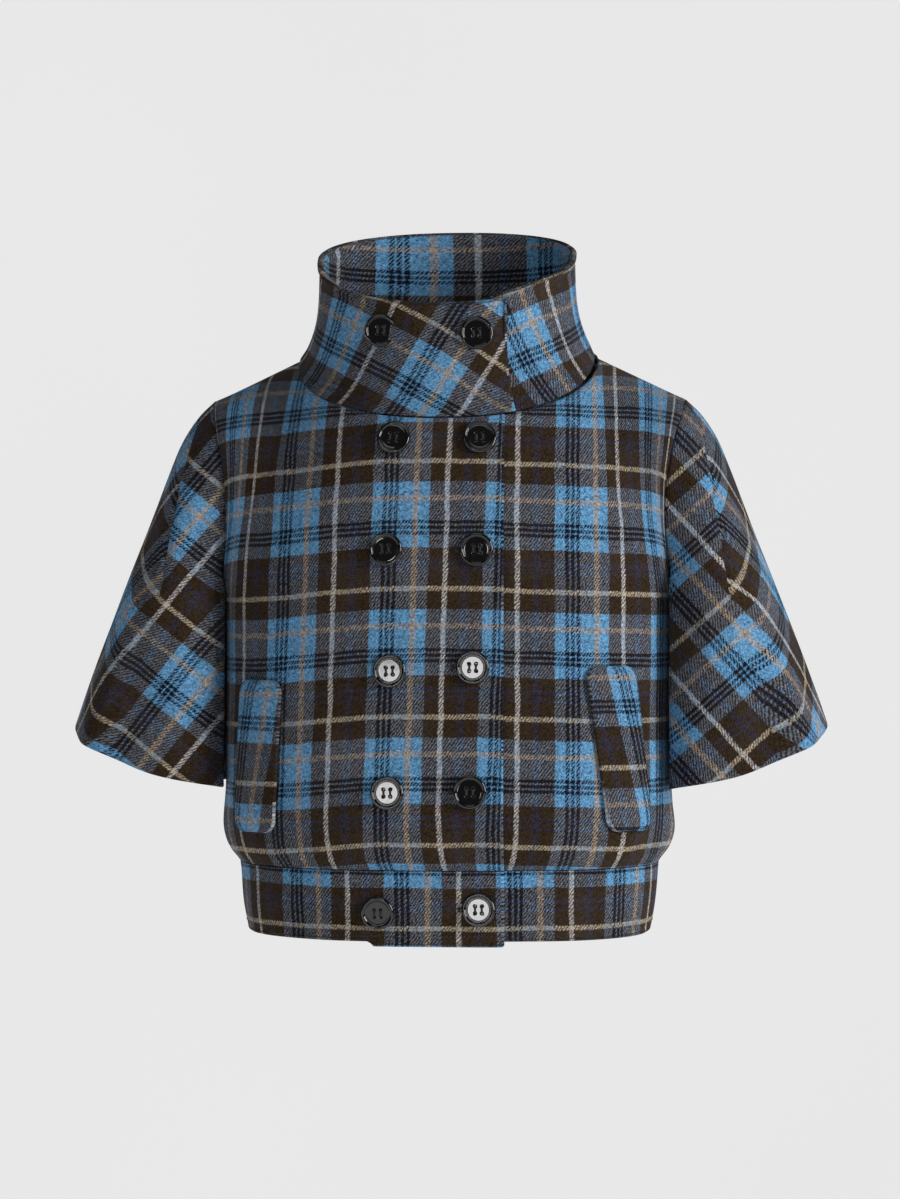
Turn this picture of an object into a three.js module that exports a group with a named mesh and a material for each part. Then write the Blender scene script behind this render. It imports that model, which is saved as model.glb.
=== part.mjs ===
// A cropped double-breasted plaid jacket with cape sleeves, hollow and in its worn form.
// Millimetres. +Z is up, -Y is the wearer's front and +X is the wearer's left.
// The origin lies at the base of the neck, between the shoulders that carry the jacket.
import * as THREE from "three";

// Cloth thicknesses and clearances
const CLOTH = 3;
const SLOPED_CLOTH = 1.35 * CLOTH;
const DOUBLED = 5;
const WELT = 3.6;
const SEAM_GAP = 0.3;
const NECK_GAP = 0.9;
const LAYER_GAP = 0.8;

// Body: sections from the hem seam up to the underarm, full above a narrower hem
const BODY_SQUARENESS = 2.6;
const bodySections = [
  { z: -406, halfWidth: 175, front: 119, back: 107 },
  { z: -396, halfWidth: 181, front: 127, back: 114 },
  { z: -374, halfWidth: 186, front: 132, back: 119 },
  { z: -330, halfWidth: 187, front: 132, back: 120 },
  { z: -260, halfWidth: 187, front: 129, back: 118 },
  { z: -190, halfWidth: 187, front: 127, back: 118 },
];
const HEM_SEAM_Z = bodySections[0].z;
const UNDERARM_Z = bodySections.at(-1).z;
const SHOULDER_FULLNESS = 4;
const YOKE_ROUNDNESS = 2.3;
const YOKE_SETTLE = 0.7;
const YOKE_FLAT = 0.3;

// Hem band: sections from its seam down to its lower edge
const hemSections = [
  { z: -468, halfWidth: 167, front: 113, back: 102 },
  { z: -440, halfWidth: 172, front: 117, back: 105 },
  { z: -406.3, halfWidth: 175, front: 119, back: 107 },
];
const HEM_TOP_Z = hemSections.at(-1).z;
const FLAP_EDGE_Z = hemSections[0].z;
const HEM_EDGE_Z = FLAP_EDGE_Z + 4;

// Fronts: how far each one crosses the centre, and where its layer settles to the body
const OVER_LAP = 51.5;
const UNDER_LAP = 78;
const overLayer = { from: 84, to: 130 };
const underLayer = { from: 62, to: 112 };
const FLAP_DROP = { from: 58, to: 62 };

// Neck seam and collar rim: rings that rise from the front to the back
const NECK_SQUARENESS = 2.25;
const neckSeam = { halfWidth: 124, front: 112, back: 95, sideZ: 13, frontRise: 0.5, backRise: 0.23 };
const collarRim = { halfWidth: 107, front: 95, back: 87, sideZ: 101, frontRise: 0.53, backRise: 0.32 };
const COLLAR_FLARE = 3.5;
const COLLAR_UNDER_LIFT = 7;
const COLLAR_TUCK = 5;

// Armhole and sleeve: lines down the tube, at shares of its length, on the +X side
const shoulderTip = { x: 197, y: 0, z: -22 };
const armholeFront = { x: 180, y: -72, z: -104 };
const armholeBack = { x: 182, y: 84, z: -98 };
const sleeveOver = [
  { share: 0, x: 197, z: -22 },
  { share: 0.05, x: 209, z: -34 },
  { share: 0.12, x: 220, z: -51 },
  { share: 0.2, x: 229, z: -72 },
  { share: 0.42, x: 252, z: -131 },
  { share: 0.65, x: 277, z: -194 },
  { share: 0.8, x: 294, z: -238 },
  { share: 1, x: 313, z: -292 },
];
const sleeveFrontHem = { x: 253, y: -84, z: -327 };
const sleeveBackHem = { x: 253, y: 88, z: -322 };
const sleeveUnderHem = { x: 193.5, y: 0, z: -341 };
const SLEEVE_SQUARENESS = 2.5;
const SLEEVE_BOW = 11;
const SLEEVE_CLEAR = 1.5;
const SLEEVE_TUCK = 17;
const ARMHOLE_EASE = 9;

// Large soft folds: on the body by angle from the centre front and by height
const bodyFolds = [
  { angle: 79, z: -380, wide: 7, long: 24, out: 5 },
  { angle: -80, z: -380, wide: 9, long: 24, out: 3 },
  { angle: 103, z: -378, wide: 8, long: 26, out: 4 },
  { angle: -106, z: -380, wide: 8, long: 26, out: 4 },
  { angle: 138, z: -368, wide: 9, long: 50, out: 4 },
  { angle: -149, z: -364, wide: 10, long: 54, out: 4.5 },
  { angle: 171, z: -372, wide: 9, long: 46, out: 3.5 },
  { angle: 88, z: -336, wide: 8, long: 40, out: -4 },
  { angle: -92, z: -330, wide: 8, long: 44, out: -3.5 },
];
// and on each sleeve by angle from the overarm line, deepest at the hem
const sleeveFolds = [
  { turn: 52, wide: 13, from: 0.25, out: 5 },
  { turn: 82, wide: 11, from: 0.4, out: -4 },
  { turn: 118, wide: 13, from: 0.3, out: 4 },
  { turn: 236, wide: 13, from: 0.3, out: 4.5 },
  { turn: 272, wide: 12, from: 0.35, out: -4 },
  { turn: 310, wide: 13, from: 0.25, out: 4.5 },
];

// Welt pockets: inner and outer edges by angle from the centre front, at top and bottom
const weltPockets = [
  { name: "pocket_welt_left", side: 1, topZ: -242, bottomZ: -376, inner: [32, 40], outer: [51, 60] },
  { name: "pocket_welt_right", side: -1, topZ: -254, bottomZ: -378, inner: [37, 40], outer: [57, 61] },
];
const WELT_CORNER = 0.09;

// Buttons: each row has an outer and an inner one, with their x, z and two tilts, up and to the left
const BUTTON = { radius: 13.5, thickness: 4.3, dish: 1.1, stand: 0.4 };
const buttonRows = [
  { name: "collar", on: "collar", x: [-50, 28], z: [29, 26], tilt: [[0, 0], [0, 0]] },
  { name: "chest", on: "front", x: [-36.5, 32], z: [-60, -60], tilt: [[1, 0], [1, -1]] },
  { name: "bust", on: "front", x: [-42, 30.5], z: [-149, -149], tilt: [[2, 1], [-2, 0]] },
  { name: "waist", on: "front", x: [-39, 27.5], z: [-246, -243], tilt: [[1, 2], [3, 2]] },
  { name: "low", on: "front", x: [-40.5, 25], z: [-343, -342], tilt: [[4, 2], [-2, -1]] },
  { name: "hem", on: "hem", x: [-49.5, 31.5], z: [-440, -437], tilt: [[0, 0], [0, 0]] },
];

const wool = new THREE.MeshStandardMaterial({ color: 0x6d7078, roughness: 0.95, metalness: 0 });
const gloss = new THREE.MeshStandardMaterial({ color: 0x0b0b0d, roughness: 0.15, metalness: 0 });

const radians = THREE.MathUtils.degToRad;
const mix = (a, b, share) => a + (b - a) * share;
const signedPower = (value, exponent) => Math.sign(value) * Math.abs(value) ** exponent;
const vector = ({ x, y, z }) => new THREE.Vector3(x, y, z);
const fade = (value, { from, to }) => 1 - THREE.MathUtils.smoothstep(value, from, to);
const evenly = (count) => Array.from({ length: count + 1 }, (_, k) => k / count);

// All columns of a table at one value of its key column, on a smooth curve through the rows
function sampleTable(rows, key, value) {
  const last = rows.length - 2;
  const found = rows.findIndex((row, k) => k > 0 && value <= row[key]);
  const k = found < 0 ? last : found - 1;
  const [a, b] = [rows[k], rows[k + 1]];
  const [before, after] = [rows[Math.max(k - 1, 0)], rows[Math.min(k + 2, rows.length - 1)]];
  const span = b[key] - a[key];
  const t = THREE.MathUtils.clamp((value - a[key]) / span, 0, 1);
  const sample = {};
  for (const column of Object.keys(a)) {
    const slopeA = ((b[column] - before[column]) / (b[key] - before[key])) * span;
    const slopeB = ((after[column] - a[column]) / (after[key] - a[key])) * span;
    const ends = a[column] * (2 * t ** 3 - 3 * t ** 2 + 1) + b[column] * (3 * t ** 2 - 2 * t ** 3);
    sample[column] = ends + slopeA * (t ** 3 - 2 * t ** 2 + t) + slopeB * (t ** 3 - t ** 2);
  }
  return sample;
}

// A squared oval at an angle from the centre front, turning towards +X
function ovalPoint(ring, angle, squareness, z) {
  const across = signedPower(Math.sin(angle), 2 / squareness);
  const along = signedPower(Math.cos(angle), 2 / squareness);
  const depth = along > 0 ? ring.front : ring.back;
  return new THREE.Vector3(ring.halfWidth * across, -depth * along, z);
}

// The angle at which a squared oval passes a given x on the front half
const angleAtX = (ring, x, squareness) => Math.asin(signedPower(x / ring.halfWidth, squareness / 2));

function tiltedRingPoint(ring, angle) {
  const point = ovalPoint(ring, angle, NECK_SQUARENESS, 0);
  const rise = point.y < 0 ? ring.frontRise : ring.backRise;
  return point.setZ(ring.sideZ + rise * point.y);
}

function bodyFoldOut(angle, z) {
  const degrees = THREE.MathUtils.radToDeg(angle);
  let out = 0;
  for (const fold of bodyFolds) {
    const off = (((degrees - fold.angle + 540) % 360) - 180) / fold.wide;
    out += fold.out * Math.exp(-(off ** 2) - ((z - fold.z) / fold.long) ** 2);
  }
  const hemHold = THREE.MathUtils.smoothstep(z, HEM_SEAM_Z, HEM_SEAM_Z + 16);
  const underarmHold = fade(z, { from: UNDERARM_Z - 50, to: UNDERARM_Z });
  return out * hemHold * underarmHold;
}

// The body's surface, seen in a frame that is mirrored where side is -1
function bodyPoint(angle, z, side = 1) {
  const section = sampleTable(bodySections, "z", z);
  const out = bodyFoldOut(side * angle, z);
  const ring = {
    halfWidth: section.halfWidth + out,
    front: section.front + out,
    back: section.back + out,
  };
  return ovalPoint(ring, angle, BODY_SQUARENESS, z);
}

// A closed curve through four guide points, about a centre: over, front, under, back
function guidedRing(guides, centre, turn, squareness) {
  const over = signedPower(Math.cos(turn), 2 / squareness);
  const front = signedPower(Math.sin(turn), 2 / squareness);
  const a = over > 0 ? guides.over : guides.under;
  const b = front > 0 ? guides.front : guides.back;
  const point = centre.clone();
  point.addScaledVector(a.clone().sub(centre), Math.abs(over));
  const toFace = b.clone().sub(centre);
  const flatX = Math.abs(front) ** 3;
  toFace.multiply(new THREE.Vector3(flatX, Math.abs(front), Math.abs(front)));
  return point.add(toFace);
}

const underarm = { x: bodySections.at(-1).halfWidth, y: 0, z: UNDERARM_Z };
const sleeveTop = {
  over: vector(shoulderTip),
  front: vector(armholeFront),
  under: vector(underarm),
  back: vector(armholeBack),
};
const middle = (a, b) => a.clone().add(b).multiplyScalar(0.5);

const armholeCentre = middle(sleeveTop.over, sleeveTop.under);
const ARMHOLE_SQUARENESS = 2.1;
const armholePoint = (turn) => guidedRing(sleeveTop, armholeCentre, turn, ARMHOLE_SQUARENESS);

// The part of a panel above the underarm: each column rises from the chest and rounds back
// over the shoulder, and near a side the columns lean to the armhole's edge
function yokePoint(edges, across, rise) {
  const column = (u) => {
    const [low, high] = [edges.bottom(u), edges.top(u)];
    const point = low.clone().lerp(high, rise);
    const rounded = (1 - rise ** YOKE_ROUNDNESS) ** YOKE_SETTLE;
    return point.setY(mix(high.y, low.y, rounded));
  };
  const point = column(across);
  const side = Math.round(across);
  const closeness = Math.max(Math.abs(2 * across - 1) - YOKE_FLAT, 0) / (1 - YOKE_FLAT);
  const lean = edges.armhole(side, rise).sub(column(side));
  return point.addScaledVector(lean, closeness ** 2);
}

// The share of a panel's height below the underarm, and the panels' rows and columns
const LOWER_SHARE = 0.5;
const FRONT_COLUMNS = 16;
const BACK_COLUMNS = 20;
const FRONT_SHOULDER_SHARE = 0.2;
const BACK_SHOULDER_SHARE = 4 / BACK_COLUMNS;
const LOWER_ROWS = 8;
const UPPER_ROWS = 16;
const SLEEVE_COLUMNS = 2 * UPPER_ROWS;
// The body's front or back from side seam to side seam, up over the shoulders to the neck.
// facing is 1 for the front, where across runs to +X, and -1 for the back, where it runs to -X.
function torsoSurface(facing, shoulderShare, side) {
  const angleAt = (across) => (facing > 0 ? mix(-0.5, 0.5, across) : mix(0.5, 1.5, across)) * Math.PI;
  const towardsX = (across) => (facing > 0 ? across > 0.5 : across < 0.5);
  const mirrored = (point, across) => (towardsX(across) ? point : point.setX(-point.x));
  const edges = {
    bottom: (across) => bodyPoint(angleAt(across), UNDERARM_Z, side),
    top: (across) => {
      const fromSeam = Math.min(across, 1 - across);
      if (fromSeam >= shoulderShare) {
        return tiltedRingPoint(neckSeam, angleAt((across - shoulderShare) / (1 - 2 * shoulderShare)));
      }
      const neckPoint = tiltedRingPoint(neckSeam, Math.PI / 2);
      return mirrored(vector(shoulderTip).lerp(neckPoint, fromSeam / shoulderShare), across);
    },
    armhole: (across, rise) => mirrored(armholePoint(Math.PI * (1 - facing * rise)), across),
  };
  return (across, v) => {
    if (v <= LOWER_SHARE) {
      return bodyPoint(angleAt(across), mix(HEM_SEAM_Z, UNDERARM_Z, v / LOWER_SHARE), side);
    }
    const rise = (v - LOWER_SHARE) / (1 - LOWER_SHARE);
    const point = yokePoint(edges, across, rise);
    const fullAcross = facing > 0 ? Math.sin(Math.PI * across) : Math.sin(2 * Math.PI * across) ** 2;
    point.y -= facing * SHOULDER_FULLNESS * fullAcross * Math.sin(Math.PI * rise);
    return point;
  };
}

// One front in its own frame, its side seam towards +X and its front edge past the centre
function frontSurface(side, lap) {
  const torso = torsoSurface(1, FRONT_SHOULDER_SHARE, side);
  const edgeAcross = (v) => {
    let [low, high] = [FRONT_SHOULDER_SHARE, 1 - FRONT_SHOULDER_SHARE];
    for (let k = 0; k < 24; k += 1) {
      const across = (low + high) / 2;
      if (torso(across, v).x < -lap) low = across;
      else high = across;
    }
    return low;
  };
  const cornerColumn = 11 / FRONT_COLUMNS;
  return (u, v) => {
    const cornerAcross = 1 - FRONT_SHOULDER_SHARE;
    if (u < cornerColumn) return torso(mix(edgeAcross(v), cornerAcross, u / cornerColumn), v);
    return torso(mix(cornerAcross, 1, (u - cornerColumn) / (1 - cornerColumn)), v);
  };
}

// A sleeve from the armhole (v = 0) to its hem (v = 1), once round with u, on the +X side
function sleeveSurface() {
  const faceGuide = (start, end, v, bow, centre) => {
    const point = vector(start).lerp(vector(end), v);
    point.x = centre.x + (start.x - armholeCentre.x) * (1 - v) ** ARMHOLE_EASE;
    point.y += bow * Math.sin(Math.PI * v ** 0.8);
    return point;
  };
  return (u, v) => {
    const over = sampleTable(sleeveOver, "share", v);
    const guides = {
      over: new THREE.Vector3(over.x, 0, over.z),
      under: vector(underarm).lerp(vector(sleeveUnderHem), v),
    };
    const centre = middle(guides.over, guides.under);
    guides.front = faceGuide(armholeFront, sleeveFrontHem, v, -SLEEVE_BOW, centre);
    guides.back = faceGuide(armholeBack, sleeveBackHem, v, SLEEVE_BOW, centre);
    const turn = 2 * Math.PI * u;
    const squareness = mix(ARMHOLE_SQUARENESS, SLEEVE_SQUARENESS, v);
    const point = guidedRing(guides, centre, turn, squareness);
    const outward = point.clone().sub(centre).setZ(0).normalize();
    for (const fold of sleeveFolds) {
      const reach = THREE.MathUtils.smoothstep(v, fold.from, 1);
      const off = (360 * u - fold.turn) / fold.wide;
      point.addScaledVector(outward, fold.out * reach * Math.exp(-(off ** 2)));
    }
    const under = Math.cos(turn) < 0 ? Math.sin(2 * turn) ** 2 : 0;
    point.x -= SLEEVE_TUCK * under * THREE.MathUtils.smoothstep(v, 0.15, 0.6);
    return point;
  };
}

// The collar strip from its outer front edge (u = 0) round the neck to its inner end
function collarSurface() {
  const start = angleAtX(collarRim, OVER_LAP, NECK_SQUARENESS);
  const end = angleAtX(collarRim, -UNDER_LAP, NECK_SQUARENESS) - 2 * Math.PI;
  const lap = (DOUBLED + LAYER_GAP) / 2;
  return (u, v) => {
    const angle = mix(start, end, u);
    const flare = (1 - v) ** COLLAR_FLARE;
    const low = tiltedRingPoint(neckSeam, angle);
    const high = tiltedRingPoint(collarRim, angle);
    const point = new THREE.Vector3(mix(high.x, low.x, flare), mix(high.y, low.y, flare), 0);
    point.z = mix(low.z, high.z, v);
    const liftAcross = THREE.MathUtils.smoothstep(u, 0.68, 0.8) * fade(u, { from: 0.8, to: 0.9 });
    point.z += NECK_GAP + COLLAR_UNDER_LIFT * v * liftAcross;
    point.z -= COLLAR_TUCK * v * THREE.MathUtils.smoothstep(u, 0.84, 0.9);
    const out = mix(lap, -lap, THREE.MathUtils.smoothstep(u, 0.17, 0.83));
    const outward = new THREE.Vector3(point.x / collarRim.halfWidth, point.y / collarRim.front, 0);
    return point.addScaledVector(outward.normalize(), out);
  };
}

// A front stretch of the hem band, in the front's own frame
function hemFrontSurface(lap, edgeZ) {
  const top = hemSections.at(-1);
  return (u, v) => {
    const topAngle = mix(angleAtX(top, -lap, BODY_SQUARENESS), Math.PI / 2, u);
    const topX = ovalPoint(top, topAngle, BODY_SQUARENESS, HEM_TOP_Z).x;
    const z = mix(edgeZ(topX), HEM_TOP_Z, v);
    const section = sampleTable(hemSections, "z", z);
    const start = angleAtX(section, -lap, BODY_SQUARENESS);
    return ovalPoint(section, mix(start, Math.PI / 2, u), BODY_SQUARENESS, z);
  };
}

function hemBackSurface() {
  return (u, v) => {
    const z = mix(HEM_EDGE_Z, HEM_TOP_Z, v);
    const angle = mix(Math.PI / 2, (3 * Math.PI) / 2, u);
    return ovalPoint(sampleTable(hemSections, "z", z), angle, BODY_SQUARENESS, z);
  };
}

const STEP = 0.004;

// The unit normal du x dv of a surface, by small steps that stay inside its edges
function surfaceNormal(surface, u, v, closed) {
  const at = (a, b) => surface(closed ? (a + 1) % 1 : THREE.MathUtils.clamp(a, 0, 1), b);
  const [low, high] = [Math.max(v - STEP, 0), Math.min(v + STEP, 1)];
  const inset = THREE.MathUtils.clamp(v, STEP, 1 - STEP);
  const across = at(u + STEP, inset).sub(at(u - STEP, inset));
  const along = at(u, high).sub(at(u, low));
  return across.cross(along).normalize();
}

// A surface moved out level with the ground by a distance that depends on the point
function layered(surface, outAt) {
  return (u, v) => {
    const point = surface(u, v);
    const level = surfaceNormal(surface, u, v, false).setZ(0).normalize();
    return point.addScaledVector(level, outAt(point));
  };
}

// Closed solid of a cloth wall: a loop over its outer and inner face for each column.
// spec: surface, wall, us, vs, outward (1 or -1), closed, steer(normal, u, v, point)
function clothGeometry(spec, side) {
  const { surface, wall, us, vs, outward = 1, closed = false, steer } = spec;
  const columns = closed ? us.slice(0, -1) : us;
  const loops = columns.map((u) => {
    const outer = [];
    const inner = [];
    for (const v of vs) {
      const point = surface(u, v);
      const normal = surfaceNormal(surface, u, v, closed).multiplyScalar(outward);
      if (steer) steer(normal, u, v, point);
      outer.push(point);
      inner.unshift(point.clone().addScaledVector(normal.normalize(), -wall));
    }
    const rim = middle(outer.at(-1), inner[0]);
    const along = outer.at(-1).clone().sub(outer.at(-2)).normalize();
    return [...outer, rim.addScaledVector(along, spec.roll ?? 0), ...inner];
  });
  const positions = loops.flat().flatMap((point) => [side * point.x, point.y, point.z]);
  const size = loops[0].length;
  const faces = [];
  const quad = (a, b, c, d) => faces.push([a, b, c], [a, c, d]);
  for (let i = 0; i < loops.length - (closed ? 0 : 1); i += 1) {
    const [here, next] = [i * size, ((i + 1) % loops.length) * size];
    for (let k = 0; k < size; k += 1) {
      const up = (k + 1) % size;
      quad(here + k, next + k, next + up, here + up);
    }
  }
  if (!closed) {
    const ends = [[0, 1], [(loops.length - 1) * size, -1]];
    for (const [base, turn] of ends) {
      for (let k = 0; k < vs.length - 1; k += 1) {
        const cap = [base + k, base + k + 1, base + size - 2 - k, base + size - 1 - k];
        if (turn < 0) cap.reverse();
        quad(...cap);
      }
      const rim = [base + vs.length - 1, base + vs.length, base + vs.length + 1];
      faces.push(turn < 0 ? rim.reverse() : rim);
    }
  }
  if (side * outward < 0) faces.forEach((face) => face.reverse());
  const geometry = new THREE.BufferGeometry();
  geometry.setAttribute("position", new THREE.Float32BufferAttribute(positions, 3));
  geometry.setIndex(faces.flat());
  geometry.computeVertexNormals();
  return geometry;
}

const jacket = new THREE.Group();

function addCloth(name, spec, side = 1) {
  const mesh = new THREE.Mesh(clothGeometry(spec, side), wool);
  mesh.name = name;
  jacket.add(mesh);
}

const panelRows = [
  ...evenly(LOWER_ROWS).map((v) => v * LOWER_SHARE),
  ...evenly(UPPER_ROWS).slice(1).map((v) => mix(LOWER_SHARE, 1, v)),
];

// Edge walls that meet: flat at the hem, in the armhole's plane, and upright on side seams
function steerPanel(normal, u, v, point) {
  const onSideSeam = Math.abs(point.y) < 2 * SEAM_GAP;
  if (v === 0) normal.z = 0;
  if (onSideSeam) normal.y = 0;
  const atArmhole = Math.abs(point.x) > armholeFront.x - 8 && v >= LOWER_SHARE && (u === 0 || u === 1);
  if (atArmhole) normal.set(0, point.y - armholeCentre.y, point.z - armholeCentre.z);
}

const seamShare = (surface, dy) => (u, v) => {
  const point = surface(u, v);
  const closeToSeam = Math.abs(point.y) < SEAM_GAP;
  return closeToSeam ? point.setY(dy) : point;
};

const clothLap = (SLOPED_CLOTH + LAYER_GAP) / 2;
const bandLap = (DOUBLED + LAYER_GAP) / 2;
const overBody = layered(frontSurface(-1, OVER_LAP), (point) => clothLap * fade(point.x, overLayer));
const underBody = layered(frontSurface(1, UNDER_LAP), (point) => -clothLap * fade(point.x, underLayer));
const backBody = torsoSurface(-1, BACK_SHOULDER_SHARE, 1);

function addPanels() {
  const front = { wall: CLOTH, us: evenly(FRONT_COLUMNS), vs: panelRows, steer: steerPanel };
  addCloth("front_right", { ...front, surface: seamShare(overBody, -SEAM_GAP / 2) }, -1);
  addCloth("front_left", { ...front, surface: seamShare(underBody, -SEAM_GAP / 2) });
  const surface = seamShare(backBody, SEAM_GAP / 2);
  addCloth("back", { ...front, us: evenly(BACK_COLUMNS), surface });
}

function addSleeves() {
  const tube = sleeveSurface();
  const surface = (u, v) => {
    const point = tube(u, v);
    point.x += SEAM_GAP + SLEEVE_CLEAR * Math.min(6 * v, 1);
    return point;
  };
  const steer = (normal, u, v, point) => {
    if (v === 0) normal.set(0, point.y - armholeCentre.y, point.z - armholeCentre.z);
  };
  const vs = sleeveOver.map((row) => row.share);
  const spec = { surface, wall: CLOTH, us: evenly(SLEEVE_COLUMNS), vs, closed: true, steer };
  addCloth("sleeve_left", spec);
  addCloth("sleeve_right", spec, -1);
}

const collarWall = collarSurface();

function addCollar() {
  const steer = (normal) => normal.setZ(0);
  const vs = [0, 0.1, 0.22, 0.38, 0.6, 0.82, 1];
  const us = evenly(52);
  addCloth("collar", { surface: collarWall, wall: DOUBLED, us, vs, outward: -1, steer, roll: 1.6 });
}

const flapEdgeZ = (x) => mix(HEM_EDGE_Z, FLAP_EDGE_Z, fade(x, FLAP_DROP));
const overHem = layered(
  hemFrontSurface(OVER_LAP, flapEdgeZ),
  (point) => bandLap * fade(point.x, overLayer),
);
const underHem = layered(
  hemFrontSurface(UNDER_LAP, () => HEM_EDGE_Z),
  (point) => -bandLap * fade(point.x, underLayer),
);

function addHemBand() {
  const steer = (normal, u, v, point) => {
    normal.setZ(0);
    if (Math.abs(point.y) < 2 * SEAM_GAP) normal.setY(0);
  };
  const band = { wall: DOUBLED, us: evenly(16), vs: evenly(3), steer };
  addCloth("hem_band_right", { ...band, surface: seamShare(overHem, -SEAM_GAP / 2) }, -1);
  addCloth("hem_band_left", { ...band, surface: seamShare(underHem, -SEAM_GAP / 2) });
  const hemBack = seamShare(hemBackSurface(), SEAM_GAP / 2);
  addCloth("hem_band_back", { ...band, us: evenly(24), surface: hemBack });
}

function addPocketWelts() {
  for (const { name, side, topZ, bottomZ, inner, outer } of weltPockets) {
    const onBody = (u, v) => {
      const toEnd = Math.max(WELT_CORNER - Math.min(v, 1 - v), 0) / WELT_CORNER;
      const inset = 0.22 * (1 - Math.sqrt(1 - toEnd ** 2));
      const across = mix(inset, 1 - inset, u);
      const angle = mix(mix(inner[1], inner[0], v), mix(outer[1], outer[0], v), across);
      return bodyPoint(radians(angle), mix(bottomZ, topZ, v), side);
    };
    const surface = layered(onBody, () => 2 * SEAM_GAP + WELT);
    const vs = [0, 0.03, WELT_CORNER, 0.3, 0.5, 0.7, 1 - WELT_CORNER, 0.97, 1];
    addCloth(name, { surface, wall: WELT, us: evenly(4), vs }, side);
  }
}

// The share across and up at which a surface passes a given x and z, by Newton steps
function locate(surface, x, z) {
  const miss = ([a, b]) => {
    const point = surface(a, b);
    return Math.hypot(point.x - x, point.z - z);
  };
  const starts = evenly(12).flatMap((b) => evenly(12).map((a) => [0.4 * a, 0.98 * b]));
  let [u, v] = starts.reduce((best, start) => (miss(start) < miss(best) ? start : best));
  for (let k = 0; k < 30; k += 1) {
    const here = surface(u, v);
    const du = surface(u + STEP, v).sub(here).divideScalar(STEP);
    const dv = surface(u, v + STEP).sub(here).divideScalar(STEP);
    const [ex, ez] = [x - here.x, z - here.z];
    const det = du.x * dv.z - dv.x * du.z;
    u = THREE.MathUtils.clamp(u + (ex * dv.z - ez * dv.x) / det, 0.001, 0.99);
    v = THREE.MathUtils.clamp(v + (du.x * ez - du.z * ex) / det, 0.001, 0.99);
  }
  return [u, v];
}

function buttonGeometry() {
  const { radius, thickness, dish } = BUTTON;
  const profile = [
    [0, 0],
    [radius - 2, 0],
    [radius, 0.45 * thickness],
    [radius - 0.8, 0.92 * thickness],
    [radius - 2.2, thickness],
    [radius - 3.6, thickness - dish],
    [0, thickness - dish],
  ];
  return new THREE.LatheGeometry(profile.map(([r, y]) => new THREE.Vector2(r, y)), 18);
}

// A button on a surface given in a frame that side mirrors; its low edge just clears the cloth
function addButton(name, surface, side, outward, x, z, [up, left]) {
  const [u, v] = locate(surface, side * x, z);
  const normal = surfaceNormal(surface, u, v, false).multiplyScalar(outward);
  const seat = surface(u, v);
  const lift = BUTTON.stand + BUTTON.radius * Math.sin(radians(Math.hypot(up, left)));
  seat.addScaledVector(normal, lift);
  seat.x *= side;
  normal.x *= side;
  const mesh = new THREE.Mesh(buttonGeometry(), gloss);
  mesh.name = name;
  mesh.position.copy(seat);
  mesh.quaternion.setFromUnitVectors(new THREE.Vector3(0, 1, 0), normal);
  mesh.rotateX(radians(up));
  mesh.rotateZ(radians(left));
  jacket.add(mesh);
}

function addButtons() {
  const surfaces = { collar: [collarWall, 1, -1], front: [overBody, -1, 1], hem: [overHem, -1, 1] };
  for (const { name, on, x, z, tilt } of buttonRows) {
    ["outer", "inner"].forEach((column, k) => {
      addButton(`button_${name}_${column}`, ...surfaces[on], x[k], z[k], tilt[k]);
    });
  }
}

addPanels();
addSleeves();
addCollar();
addHemBand();
addPocketWelts();
addButtons();

export default jacket;
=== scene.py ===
"""A cropped plaid wool jacket with cape sleeves, hollow and in its worn form.

Sizes are in millimetres, as a pattern cutter writes them, and turn into metres when a mesh is made.
+Z is up, -Y is the wearer's front and +X the wearer's left.
"""

import math

import bpy
import numpy as np
from mathutils import Matrix, Vector


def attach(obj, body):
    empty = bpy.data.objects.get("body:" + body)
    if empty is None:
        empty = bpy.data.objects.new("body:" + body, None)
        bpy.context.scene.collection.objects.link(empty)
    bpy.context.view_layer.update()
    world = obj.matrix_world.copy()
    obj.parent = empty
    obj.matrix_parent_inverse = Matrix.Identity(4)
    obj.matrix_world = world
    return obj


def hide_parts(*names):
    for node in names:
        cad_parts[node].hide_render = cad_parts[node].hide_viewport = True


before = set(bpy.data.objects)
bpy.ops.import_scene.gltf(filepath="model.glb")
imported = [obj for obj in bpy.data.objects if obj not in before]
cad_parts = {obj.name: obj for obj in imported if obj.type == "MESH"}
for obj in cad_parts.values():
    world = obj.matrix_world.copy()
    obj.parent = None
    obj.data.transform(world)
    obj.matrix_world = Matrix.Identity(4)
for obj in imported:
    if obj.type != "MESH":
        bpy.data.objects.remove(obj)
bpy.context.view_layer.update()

MM = 0.001
PHOTO_WIDTH, PHOTO_HEIGHT = 900, 1199

# Cloth thicknesses and clearances
CLOTH = 3.0
SLOPED_CLOTH = 1.35 * CLOTH
DOUBLED = 5.0
WELT = 3.6
SEAM_GAP = 0.3
NECK_GAP = 0.9
LAYER_GAP = 0.8
CLOTH_LAP = (SLOPED_CLOTH + LAYER_GAP) / 2
BAND_LAP = (DOUBLED + LAYER_GAP) / 2

# Body: sections from the hem seam up to the underarm, full above a narrower hem
BODY_SQUARENESS = 2.6
BODY_SECTIONS = {
    "z": (-406, -396, -374, -330, -260, -190),
    "half_width": (175, 181, 186, 187, 187, 187),
    "front": (119, 127, 132, 132, 129, 127),
    "back": (107, 114, 119, 120, 118, 118),
}
HEM_SEAM_Z = BODY_SECTIONS["z"][0]
UNDERARM_Z = BODY_SECTIONS["z"][-1]
SHOULDER_FULLNESS = 4.0
YOKE_ROUNDNESS, YOKE_SETTLE, YOKE_FLAT = 2.3, 0.7, 0.3
LOWER_SHARE = 0.5

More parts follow.
